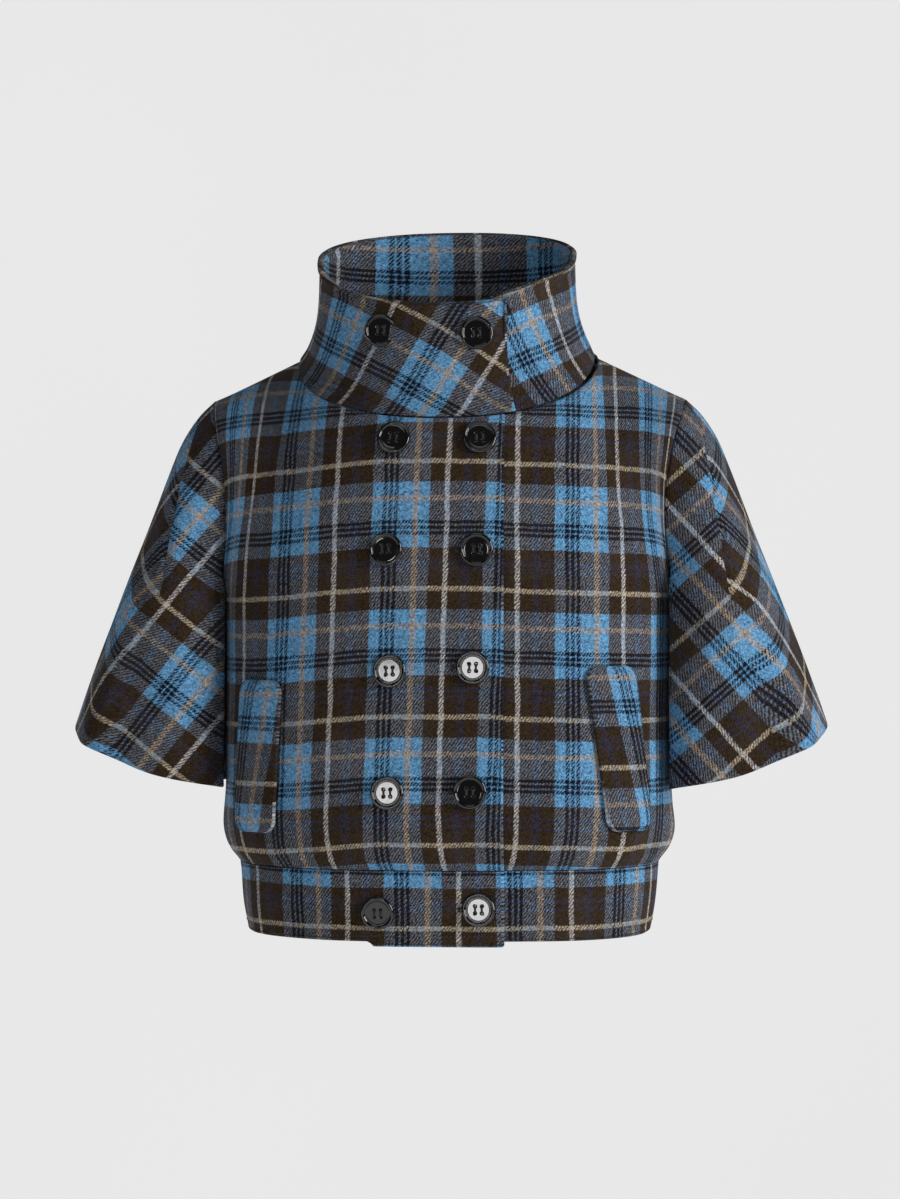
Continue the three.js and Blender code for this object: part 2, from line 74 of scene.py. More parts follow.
# Hem band: sections from its lower edge up to its seam
HEM_SECTIONS = {
    "z": (-468, -440, -406.3),
    "half_width": (167, 172, 175),
    "front": (113, 117, 119),
    "back": (102, 105, 107),
}
HEM_TOP_Z = HEM_SECTIONS["z"][-1]
FLAP_EDGE_Z = HEM_SECTIONS["z"][0]
HEM_EDGE_Z = FLAP_EDGE_Z + 4

# Fronts: how far each one crosses the centre, and where its layer settles to the body
OVER_LAP, UNDER_LAP = 51.5, 78.0
OVER_LAYER, UNDER_LAYER = (84, 130), (62, 112)
FLAP_DROP = (58, 62)
FRONT_SHOULDER_SHARE = BACK_SHOULDER_SHARE = 0.2

# Neck seam and collar rim: rings that rise from the front to the back
NECK_SQUARENESS = 2.25
NECK_SEAM = {"half_width": 124, "front": 112, "back": 95, "side_z": 13, "front_rise": 0.5, "back_rise": 0.23}
COLLAR_RIM = {"half_width": 107, "front": 95, "back": 87, "side_z": 101, "front_rise": 0.53, "back_rise": 0.32}
COLLAR_FLARE, COLLAR_UNDER_LIFT, COLLAR_TUCK = 3.5, 7.0, 5.0

# Armhole and sleeve: lines down the tube at shares of its length, on the +X side
SHOULDER_TIP = (197, 0, -22)
ARMHOLE_FRONT = (180, -72, -104)
ARMHOLE_BACK = (182, 84, -98)
UNDERARM = (187, 0, UNDERARM_Z)
SLEEVE_OVER = {
    "share": (0, 0.05, 0.12, 0.2, 0.42, 0.65, 0.8, 1),
    "x": (197, 209, 220, 229, 252, 277, 294, 313),
    "z": (-22, -34, -51, -72, -131, -194, -238, -292),
}
SLEEVE_FRONT_HEM = (253, -84, -327)
SLEEVE_BACK_HEM = (253, 88, -322)
SLEEVE_UNDER_HEM = (190.5, 0, -341)
ARMHOLE_SQUARENESS, SLEEVE_SQUARENESS = 2.1, 2.5
SLEEVE_BOW, SLEEVE_CLEAR, ARMHOLE_EASE, SLEEVE_TUCK = 11, 1.5, 9, 20

# The overarm dart of each sleeve: its angle from the overarm line at shares of the sleeve
DART = {"share": (0, 0.1, 0.2, 0.35, 0.46), "turn": (12, 42, 60, 72, 78)}
DART_TIP_SHARE = DART["share"][-1]
DART_WEDGE = math.radians(24)
SLEEVE_ROUND = 1.08

# Large soft folds of the body: angle from the centre front, height, widths and how far out
BODY_FOLDS = (
    {"angle": 79, "z": -380, "wide": 7, "long": 24, "out": 5},
    {"angle": -80, "z": -380, "wide": 9, "long": 24, "out": 3},
    {"angle": 103, "z": -378, "wide": 8, "long": 26, "out": 4},
    {"angle": -106, "z": -380, "wide": 8, "long": 26, "out": 4},
    {"angle": 138, "z": -368, "wide": 9, "long": 50, "out": 4},
    {"angle": -149, "z": -364, "wide": 10, "long": 54, "out": 4.5},
    {"angle": 171, "z": -372, "wide": 9, "long": 46, "out": 3.5},
    {"angle": 88, "z": -336, "wide": 8, "long": 40, "out": -2},
    {"angle": -92, "z": -330, "wide": 8, "long": 44, "out": -2},
)
# and of each sleeve: angle from the overarm line, deepest at the hem
SLEEVE_FOLDS = (
    {"turn": 52, "wide": 13, "from": 0.25, "out": 5},
    {"turn": 82, "wide": 11, "from": 0.4, "out": -4},
    {"turn": 118, "wide": 13, "from": 0.3, "out": 4},
    {"turn": 236, "wide": 13, "from": 0.3, "out": 4.5},
    {"turn": 272, "wide": 12, "from": 0.35, "out": -4},
    {"turn": 310, "wide": 13, "from": 0.25, "out": 4.5},
)

# Fine creases: centre (across, up), lean in degrees, half length, half width, depth
FRONT_CREASES = (
    (-150, -120, 62, 55, 9, 1.6),
    (-128, -96, 55, 46, 8, -1.1),
    (146, -128, 118, 52, 9, 1.5),
    (128, -100, 124, 44, 8, -1.0),
    (-160, -236, 84, 60, 10, -1.3),
    (-118, -300, 92, 80, 13, 1.2),
    (158, -250, 96, 64, 10, -1.3),
    (96, -330, 80, 60, 12, 1.1),
    (-96, -392, 86, 20, 7, 1.3),
    (-60, -393, 95, 17, 6, -1.0),
    (-132, -392, 82, 20, 6, 1.5),
    (88, -393, 92, 20, 7, 1.2),
    (118, -391, 84, 22, 6, -1.2),
    (150, -390, 88, 24, 6, 1.6),
    (-20, -250, 90, 110, 16, 0.8),
    (72, -180, 88, 90, 14, -0.8),
)
BACK_CREASES = (
    (-150, -130, 118, 58, 9, 1.6),
    (150, -126, 62, 56, 9, 1.6),
    (-116, -104, 126, 44, 8, -1.1),
    (112, -108, 55, 46, 8, -1.1),
    (-60, -300, 92, 90, 13, 1.2),
    (34, -250, 88, 110, 14, -0.9),
    (86, -320, 84, 70, 12, 1.2),
    (-128, -391, 85, 22, 7, 1.4),
    (-84, -392, 94, 19, 6, -1.1),
    (-34, -390, 88, 22, 7, 1.3),
    (20, -392, 92, 18, 6, 1.1),
    (68, -391, 86, 22, 7, 1.4),
    (122, -392, 93, 20, 6, -1.2),
)

# Welt pockets: edges by angle from the centre front, each at the top and at the bottom
POCKETS = (
    {"name": "pocket_welt_left", "side": 1, "top": -242, "bottom": -376, "inner": (32, 40), "outer": (51, 60)},
    {"name": "pocket_welt_right", "side": -1, "top": -254, "bottom": -378, "inner": (37, 40), "outer": (57, 61)},
)
WELT_CORNER = 0.09

# Plaid: repeat across (warp) and down (weft) in millimetres, and the bands in 113ths and 128ths
WARP_REPEAT, WEFT_REPEAT = 90.4, 102.2
WARP_THREADS, WEFT_THREADS = 113, 128
TWILL_PITCH = 2.6


def signed_power(value, exponent):
    return np.sign(value) * np.abs(value) ** exponent


def mix(a, b, share):
    return a + (b - a) * share


def smoothstep(value, low, high):
    t = np.clip((value - low) / (high - low), 0, 1)
    return t * t * (3 - 2 * t)


def fade(value, ends):
    return 1 - smoothstep(value, *ends)


def point_array(x, y, z):
    return np.stack(np.broadcast_arrays(x, y, z), axis=-1).astype(float)


def sample_table(table, key, values):
    """The columns of a table at values of its key column, on a smooth curve through its rows."""
    keys = np.array(table[key], float)
    values = np.clip(np.asarray(values, float), keys[0], keys[-1])
    k = np.clip(np.searchsorted(keys, values, side="left") - 1, 0, len(keys) - 2)
    span = keys[k + 1] - keys[k]
    t = (values - keys[k]) / span
    out = {}
    for name, column in table.items():
        p = np.array(column, float)
        slope = np.empty(len(p))
        slope[1:-1] = (p[2:] - p[:-2]) / (keys[2:] - keys[:-2])
        slope[0] = (p[1] - p[0]) / (keys[1] - keys[0])
        slope[-1] = (p[-1] - p[-2]) / (keys[-1] - keys[-2])
        ends = p[k] * (2 * t**3 - 3 * t**2 + 1) + p[k + 1] * (3 * t**2 - 2 * t**3)
        bends = slope[k] * span * (t**3 - 2 * t**2 + t) + slope[k + 1] * span * (t**3 - t**2)
        out[name] = ends + bends
    return out


def oval(ring, angle, squareness):
    """x and y of a squared oval at an angle from the centre front, turning towards +X."""
    across = signed_power(np.sin(angle), 2 / squareness)
    along = signed_power(np.cos(angle), 2 / squareness)
    depth = np.where(along > 0, ring["front"], ring["back"])
    return ring["half_width"] * across, -depth * along


def angle_at_x(ring, x, squareness):
    return np.arcsin(signed_power(x / ring["half_width"], squareness / 2))


def tilted_ring_point(ring, angle):
    x, y = oval(ring, angle, NECK_SQUARENESS)
    rise = np.where(y < 0, ring["front_rise"], ring["back_rise"])
    return point_array(x, y, ring["side_z"] + rise * y)


def body_fold_out(angle, z):
    out = 0.0
    for fold in BODY_FOLDS:
        off = ((np.degrees(angle) - fold["angle"] + 540) % 360 - 180) / fold["wide"]
        out = out + fold["out"] * np.exp(-(off**2) - ((z - fold["z"]) / fold["long"]) ** 2)
    hem_hold = smoothstep(z, HEM_SEAM_Z, HEM_SEAM_Z + 16)
    return out * hem_hold * fade(z, (UNDERARM_Z - 50, UNDERARM_Z))


def body_point(angle, z, side=1):
    """The body's surface, in a frame that is mirrored where side is -1."""
    section = sample_table(BODY_SECTIONS, "z", z)
    out = body_fold_out(side * angle, z)
    ring = {name: section[name] + out for name in ("half_width", "front", "back")}
    x, y = oval(ring, angle, BODY_SQUARENESS)
    return point_array(x, y, z)


def guided_ring(guides, centre, turn, squareness):
    """A closed curve through four guide points about a centre: over, front, under, back."""
    over = signed_power(np.cos(turn), 2 / squareness)[..., None]
    front = signed_power(np.sin(turn), 2 / squareness)[..., None]
    to_end = np.where(over > 0, guides["over"], guides["under"]) - centre
    to_face = np.where(front > 0, guides["front"], guides["back"]) - centre
    reach = np.abs(front)
    face = to_face * np.concatenate([reach**3, reach, reach], axis=-1)
    return centre + to_end * np.abs(over) + face


ARMHOLE = {
    "over": np.array(SHOULDER_TIP, float),
    "front": np.array(ARMHOLE_FRONT, float),
    "under": np.array(UNDERARM, float),
    "back": np.array(ARMHOLE_BACK, float),
}
ARMHOLE_CENTRE = (ARMHOLE["over"] + ARMHOLE["under"]) / 2


def armhole_point(turn):
    return guided_ring(ARMHOLE, ARMHOLE_CENTRE, turn, ARMHOLE_SQUARENESS)


def torso_surface(facing, side):
    """The body's front (facing 1) or back (-1), from side seam to side seam and up to the neck."""
    share = FRONT_SHOULDER_SHARE if facing > 0 else BACK_SHOULDER_SHARE
    first = -0.5 if facing > 0 else 0.5

    def angle_at(across):
        return (first + across) * math.pi

    def sided(points, across):
        towards_x = across > 0.5 if facing > 0 else across < 0.5
        points[..., 0] *= np.where(towards_x, 1, -1)
        return points

    def top(across):
        from_seam = np.minimum(across, 1 - across)
        neck = tilted_ring_point(NECK_SEAM, angle_at(np.clip((across - share) / (1 - 2 * share), 0, 1)))
        corner = tilted_ring_point(NECK_SEAM, np.pi / 2)
        along = np.clip(from_seam / share, 0, 1)[..., None]
        seam = sided(mix(np.array(SHOULDER_TIP, float), corner, along), across)
        return np.where((from_seam >= share)[..., None], neck, seam)

    def armhole(across, rise):
        return sided(armhole_point(np.pi * (1 - facing * rise)), across)

    def column(across, rise):
        low = body_point(angle_at(across), np.full_like(across, UNDERARM_Z), side)
        high = top(across)
        point = mix(low, high, rise[..., None])
        rounded = (1 - rise**YOKE_ROUNDNESS) ** YOKE_SETTLE
        point[..., 1] = mix(high[..., 1], low[..., 1], rounded)
        return point

    def surface(across, v):
        across, v = np.broadcast_arrays(np.asarray(across, float), np.asarray(v, float))
        lower = body_point(angle_at(across), mix(HEM_SEAM_Z, UNDERARM_Z, np.minimum(v / LOWER_SHARE, 1)), side)
        rise = np.clip((v - LOWER_SHARE) / (1 - LOWER_SHARE), 0, 1)
        yoke = column(across, rise)
        nearest = np.round(across)
        closeness = np.maximum(np.abs(2 * across - 1) - YOKE_FLAT, 0) / (1 - YOKE_FLAT)
        lean = armhole(nearest, rise) - column(nearest, rise)
        yoke += lean * (closeness**2)[..., None]
        full = np.sin(np.pi * across) if facing > 0 else np.sin(2 * np.pi * across) ** 2
        yoke[..., 1] -= facing * SHOULDER_FULLNESS * full * np.sin(np.pi * rise)
        return np.where((v <= LOWER_SHARE)[..., None], lower, yoke)

    return surface


def front_across(side, lap, v):
    """The share across the whole front at which a front's own edge runs, at each height share."""
    torso = torso_surface(1, side)
    low = np.full(np.shape(v), FRONT_SHOULDER_SHARE)
    high = 1 - low
    for _ in range(24):
        across = (low + high) / 2
        short = torso(across, v)[..., 0] < -lap
        low, high = np.where(short, across, low), np.where(short, high, across)
    return low


def sleeve_surface(turn, v):
    """A sleeve on the +X side: turn from the overarm line towards the front, v from armhole to hem."""
    over = sample_table(SLEEVE_OVER, "share", v)
    guides = {"over": point_array(over["x"], 0, over["z"])}
    share = v[..., None]
    guides["under"] = mix(np.array(UNDERARM, float), np.array(SLEEVE_UNDER_HEM, float), share)
    centre = (guides["over"] + guides["under"]) / 2
    for name, start, end, bow in (
        ("front", ARMHOLE_FRONT, SLEEVE_FRONT_HEM, -SLEEVE_BOW),
        ("back", ARMHOLE_BACK, SLEEVE_BACK_HEM, SLEEVE_BOW),
    ):
        face = mix(np.array(start, float), np.array(end, float), share)
        face[..., 0] = centre[..., 0] + (start[0] - ARMHOLE_CENTRE[0]) * (1 - v) ** ARMHOLE_EASE
        face[..., 1] += bow * np.sin(np.pi * v**0.8)
        guides[name] = face
    squareness = mix(ARMHOLE_SQUARENESS, SLEEVE_SQUARENESS, v)
    point = guided_ring(guides, centre, turn, squareness)
    outward = point - centre
    outward[..., 2] = 0
    outward /= np.linalg.norm(outward, axis=-1, keepdims=True)
    degrees = np.degrees(turn) % 360
    for fold in SLEEVE_FOLDS:
        reach = fold["out"] * smoothstep(v, fold["from"], 1)
        point = point + outward * (reach * np.exp(-(((degrees - fold["turn"]) / fold["wide"]) ** 2)))[..., None]
    under = np.where(np.cos(turn) < 0, np.sin(2 * turn) ** 2, 0)
    point[..., 0] -= SLEEVE_TUCK * under * v**0.42 * smoothstep(v, 0, 0.08)
    point[..., 0] += SEAM_GAP + SLEEVE_CLEAR * np.minimum(6 * v, 1)
    return point


def collar_angles():
    start = angle_at_x(COLLAR_RIM, OVER_LAP, NECK_SQUARENESS)
    return start, angle_at_x(COLLAR_RIM, -UNDER_LAP, NECK_SQUARENESS) - 2 * np.pi


def collar_surface(u, v):
    """The collar strip from its outer front edge (u = 0) round the neck to its inner end."""
    angle = mix(*collar_angles(), u)
    flare = ((1 - v) ** COLLAR_FLARE)[..., None]
    low, high = tilted_ring_point(NECK_SEAM, angle), tilted_ring_point(COLLAR_RIM, angle)
    point = mix(high, low, flare)
    lift = smoothstep(u, 0.68, 0.8) * fade(u, (0.8, 0.9))
    height = mix(low[..., 2], high[..., 2], v) + NECK_GAP + COLLAR_UNDER_LIFT * v * lift
    point[..., 2] = height - COLLAR_TUCK * v * smoothstep(u, 0.84, 0.9)
    out = mix(BAND_LAP, -BAND_LAP, smoothstep(u, 0.17, 0.83))
    outward = point / np.array([COLLAR_RIM["half_width"], COLLAR_RIM["front"], 1])
    outward[..., 2] = 0
    outward /= np.linalg.norm(outward, axis=-1, keepdims=True)
    return point + outward * out[..., None]


def hem_front_surface(lap, edge_z, u, v):
    top = {name: column[-1] for name, column in HEM_SECTIONS.items()}
    top_angle = mix(angle_at_x(top, -lap, BODY_SQUARENESS), np.pi / 2, u)
    z = mix(edge_z(oval(top, top_angle, BODY_SQUARENESS)[0]), HEM_TOP_Z, v)
    section = sample_table(HEM_SECTIONS, "z", z)
    start = angle_at_x(section, -lap, BODY_SQUARENESS)
    x, y = oval(section, mix(start, np.pi / 2, u), BODY_SQUARENESS)
    return point_array(x, y, z)


def grid_normals(points, closed=False):
    """Unit normals across x up at each point of a grid whose first axis runs across."""
    if closed:
        wrapped = np.concatenate([points[-2:-1], points, points[1:2]])
        across = (wrapped[2:] - wrapped[:-2]) / 2
    else:
        across = np.gradient(points, axis=0)
    normal = np.cross(across, np.gradient(points, axis=1))
    length = np.linalg.norm(normal, axis=-1, keepdims=True)
    return normal / np.maximum(length, 1e-9)


def layered(points, out):
    """A grid moved out level with the ground by a distance at each point."""
    level = grid_normals(points)
    level[..., 2] = 0
    level /= np.maximum(np.linalg.norm(level, axis=-1, keepdims=True), 1e-9)
    return points + level * out[..., None]


def creased(across, up, creases):
    """How far a surface lies out at each point, for listed soft troughs and ridges."""
    out = np.zeros(np.shape(across))
    for centre_across, centre_up, lean, half_length, half_width, height in creases:
        dx, dz = across - centre_across, up - centre_up
        c, s = math.cos(math.radians(lean)), math.sin(math.radians(lean))
        along, off = dx * c + dz * s, dz * c - dx * s
        bend = off + 0.12 * half_width * np.sin(along / half_length * 2.7 + centre_across)
        out += height * np.exp(-((along / half_length) ** 2) - (bend / half_width) ** 2)
    return out


def slow_waves(a, b, seed):
    """A gentle unevenness of hand-cut cloth, between about -1 and 1."""
    wave = np.sin(a / 37 + 1.3 * seed) * np.cos(b / 43 - 0.7 * seed)
    wave += 0.6 * np.sin((a + 0.6 * b) / 21 + 2.1 * seed) + 0.5 * np.cos((b - 0.4 * a) / 16 + seed)
    return wave / 2.1


def path_length(points, axis, parts=(0, 1, 2)):
    """Running length along one axis of a grid, measured in the given coordinates."""
    steps = np.diff(points[..., list(parts)], axis=axis)
    length = np.cumsum(np.linalg.norm(steps, axis=-1), axis=axis)
    start = np.zeros_like(np.take(length, [0], axis=axis))
    return np.concatenate([start, length], axis=axis)


def make_mesh(name, vertices, faces, corner_uv, materials, face_slots=None):
    mesh = bpy.data.meshes.new(name)
    mesh.from_pydata([tuple(v) for v in vertices * MM], [], faces)
    layer = mesh.uv_layers.new(name="ClothMap")
    layer.data.foreach_set("uv", np.asarray(corner_uv, float).ravel())
    for material in materials:
        mesh.materials.append(material)
    mesh.polygons.foreach_set("use_smooth", [True] * len(faces))
    if face_slots is not None:
        mesh.polygons.foreach_set("material_index", face_slots)
    mesh.update()
    piece = bpy.data.objects.new(name, mesh)
    bpy.context.collection.objects.link(piece)
    return piece


EDGE_ARC = np.radians((28, 68, 112, 152))
END_ARC = np.radians((0, 30, 60, 86))
SEAM_ROUND = 1.0


def rounded_depth(arc, half, radius):
    """How far from the middle of a wall a point of its rounded edge lies."""
    return np.sign(np.cos(arc)) * (half - radius) + radius * np.cos(arc)


def unit(vectors):
    return vectors / np.maximum(np.linalg.norm(vectors, axis=-1, keepdims=True), 1e-9)


def cloth_shell(name, points, wall, uv, material, **options):
    """A wall of cloth on a grid of its outer points, the columns first, with rounded edges.

    uv is each point's place on the flat cloth in millimetres. Options: closed for a tube, flip
    where the columns run the other way, normals, uv_inside for the inner face, uv_end for what
    a face uses on its second column, and the rounding of each edge: low, high, start and end.
    """
    closed, flip = options.get("closed", False), options.get("flip", False)
    half = wall / 2
    radius = {edge: min(options.get(edge, SEAM_ROUND), half) for edge in ("low", "high", "start", "end")}
    normals = options.get("normals")
    if normals is None:
        normals = grid_normals(points, closed) * (-1 if flip else 1)
    along, across = unit(np.gradient(points, axis=1)), unit(np.gradient(points, axis=0))
    middle = points - normals * half
    middle[:, 0] += along[:, 0] * radius["low"]
    middle[:, -1] -= along[:, -1] * radius["high"]
    if not closed:
        middle[0] += across[0] * radius["start"]
        middle[-1] -= across[-1] * radius["end"]
    uv_inside = options.get("uv_inside", uv)
    uv_end = options.get("uv_end", uv)

    def loops(centre, normal, way, thick):
        outer, inner = centre + normal * thick, (centre - normal * thick)[:, ::-1]
        rims = []
        for row, sign, edge, arcs in ((-1, 1, "high", EDGE_ARC), (0, -1, "low", EDGE_ARC[::-1])):
            r = min(radius[edge], thick)
            rim = [
                centre[:, row] + normal[:, row] * rounded_depth(a, thick, r) + sign * way[:, row] * r * math.sin(a)
                for a in arcs
            ]
            rims.append(np.stack(rim, axis=1))
        return np.concatenate([outer, rims[0], inner, rims[1]], axis=1)

    def loop_uv(outer, inner):
        rims = []
        for row, inward, edge, arcs in ((-1, -2, "high", EDGE_ARC), (0, 1, "low", EDGE_ARC[::-1])):
            step = np.linalg.norm(points[:, row] - points[:, inward], axis=-1, keepdims=True)
            drift = (outer[:, row] - outer[:, inward]) / np.maximum(step, 1e-6)
            drift *= np.minimum(1.2 / np.maximum(np.linalg.norm(drift, axis=-1, keepdims=True), 1e-6), 1)
            rims.append(np.stack([outer[:, row] + drift * radius[edge] * a for a in arcs], axis=1))
        return np.concatenate([outer, rims[0], inner[:, ::-1], rims[1]], axis=1)

    first_uv, second_uv = loop_uv(uv, uv_inside), loop_uv(uv_end, uv_inside)
    if closed:
        rings = loops(middle, normals, along, half)[:-1]
    else:
        body = loops(middle[1:-1], normals[1:-1], along[1:-1], half)
        stacks = {}
        for column, sign, edge in ((0, -1, "start"), (-1, 1, "end")):
            stack = []
            for a in END_ARC:
                moved = middle[[column]] + sign * across[[column]] * radius[edge] * math.sin(a)
                thick = half - radius[edge] * (1 - math.cos(a))
                stack.append(loops(moved, normals[[column]], along[[column]], max(thick, 0.05)))
            stacks[edge] = stack
        rings = np.concatenate([*stacks["start"][::-1], body, *stacks["end"]])
        pad = len(END_ARC) - 1
        first_uv, second_uv = (
            np.concatenate([np.repeat(m[:1], pad, axis=0), m, np.repeat(m[-1:], pad, axis=0)])
            for m in (first_uv, second_uv)
        )

    columns, size, rows = rings.shape[0], rings.shape[1], points.shape[1]
    faces, corners = [], []
    for i in range(columns if closed else columns - 1):
        here, following = i * size, ((i + 1) % columns) * size
        for k in range(size):
            up = (k + 1) % size
            faces.append((here + k, following + k, following + up, here + up))
            corners += [first_uv[i, k], second_uv[i + 1, k], second_uv[i + 1, up], first_uv[i, up]]
    if not closed:
        last = rows + len(EDGE_ARC)
        for column, way in ((0, 1), (columns - 1, -1)):
            caps = [(k, k + 1, last + rows - 2 - k, last + rows - 1 - k) for k in range(rows - 1)]
            caps += [tuple(range(rows - 1, last + 1)), (*range(last + rows - 1, size), 0)]
            for cap in caps:
                faces.append(tuple(column * size + k for k in cap[::way]))
                corners += [first_uv[column, k] for k in cap[::way]]
    corners = np.array(corners) * MM
    if flip:
        starts = np.concatenate([[0], np.cumsum([len(face) for face in faces])])
        corners = np.concatenate([corners[a:b][::-1] for a, b in zip(starts, starts[1:])])
        faces = [face[::-1] for face in faces]
    return make_mesh(f"{name}_cloth", rings.reshape(-1, 3), faces, corners, [material])


def mirrored(points, side):
    return points * np.array([side, 1, 1])


def linear(red, green, blue):
    """Linear colour of a hue given as it looks on a screen, 0 to 255."""
    channels = [c / 255 for c in (red, green, blue)]
    return (*(c / 12.92 if c <= 0.04045 else ((c + 0.055) / 1.055) ** 2.4 for c in channels), 1.0)


# Dyed yarns of the plaid, and the two greys that blue and brown make where they cross
YARN = {
    "brown": linear(50, 38, 24),
    "blue": linear(96, 148, 188),
    "navy": linear(12, 13, 26),
    "white": linear(190, 184, 180),
    "cream": linear(190, 174, 150),
    "tan": linear(172, 146, 114),
    "indigo": linear(46, 56, 98),
}
CROSSED_DARK, CROSSED_LIGHT = linear(30, 26, 24), linear(108, 101, 101)
WARP_GROUND = ((0, 58),)
WEFT_GROUND = ((0, 66),)
WARP_LINES = (
    (10.8, 14.9, "navy", 1.0),
    (16.6, 20.6, "navy", 1.0),
    (22.3, 26.2, "navy", 1.0),
    (41, 47, "tan", 0.85),
    (73, 78, "white", 0.9),
    (91, 99, "indigo", 0.3),
)
WEFT_LINES = (
    (14, 19.5, "tan", 0.75),
    (39, 42.8, "navy", 1.0),
    (44.4, 48.2, "navy", 1.0),
    (49.8, 53.6, "navy", 1.0),
    (78, 83, "indigo", 0.35),
    (86, 90, "indigo", 0.3),
    (105, 110, "cream", 0.8),
)


class Tree:
    """Short ways to add nodes to one shader tree or node group."""

    def __init__(self, tree):
        self.tree = tree

    def add(self, kind, **settings):
        node = self.tree.nodes.new(kind)
        for name, value in settings.items():
            setattr(node, name, value)
        return node

    def link(self, output, socket):
        self.tree.links.new(output, socket)

    def put(self, socket, value):
        if isinstance(value, bpy.types.NodeSocket):
            self.link(value, socket)
        else:
            socket.default_value = value

    def math(self, operation, *values, clamp=False):
        node = self.add("ShaderNodeMath", operation=operation, use_clamp=clamp)
        for socket, value in zip(node.inputs, values):
            self.put(socket, value)
        return node.outputs[0]

    def blend(self, factor, a, b, mode="MIX"):
        node = self.add("ShaderNodeMix", data_type="RGBA", blend_type=mode)
        for socket, value in ((node.inputs[0], factor), (node.inputs[6], a), (node.inputs[7], b)):
            self.put(socket, value)
        return node.outputs[2]

    def noise(self, vector, scale, detail=2.0, roughness=0.5):
        node = self.add("ShaderNodeTexNoise")
        self.put(node.inputs["Vector"], vector)
        self.put(node.inputs["Scale"], scale)
        self.put(node.inputs["Detail"], detail)
        self.put(node.inputs["Roughness"], roughness)
        return node.outputs["Fac"]

    def spread(self, value, low, high, to_low=0.0, to_high=1.0):
        node = self.add("ShaderNodeMapRange")
        for socket, number in zip(node.inputs, (value, low, high, to_low, to_high)):
            self.put(socket, number)
        return node.outputs[0]

    def bands(self, phase, rows, count, ground=(0, 0, 0, 0), edge=0.35):
        """A colour ramp over one repeat, with a colour and strength for each band."""
        ramp = self.add("ShaderNodeValToRGB")
        self.link(phase, ramp.inputs[0])
        stops = []
        for start, end, colour in rows:
            stops += [(start - edge, (*colour[:3], 0)), (start + edge, colour)]
            stops += [(end - edge, colour), (end + edge, (*colour[:3], 0))]
        elements = ramp.color_ramp.elements
        first = stops[0][1] if ground is None else ground
        elements[0].position, elements[0].color = 0.0, first
        elements[1].position, elements[1].color = 1.0, first
        for position, colour in stops:
            elements.new(min(max(position / count, 0.0), 1.0)).color = colour
        return ramp.outputs


def new_group(name, inputs, outputs):
    tree = bpy.data.node_groups.new(name, "ShaderNodeTree")
    for way, sockets in (("INPUT", inputs), ("OUTPUT", outputs)):
        for label, (kind, value) in sockets.items():
            socket = tree.interface.new_socket(label, in_out=way, socket_type=f"NodeSocket{kind}")
            if value is not None:
                socket.default_value = value
    return Tree(tree), tree.nodes.new("NodeGroupInput"), tree.nodes.new("NodeGroupOutput")


def wave(t, coordinate, period):
    """A sine between -1 and 1 along a coordinate."""
    return t.math("SINE", t.math("MULTIPLY", coordinate, 2 * math.pi / period))


def phase_of(t, coordinate, repeat):
    return t.math("FRACT", t.math("ADD", t.math("DIVIDE", coordinate, repeat), 20.0))


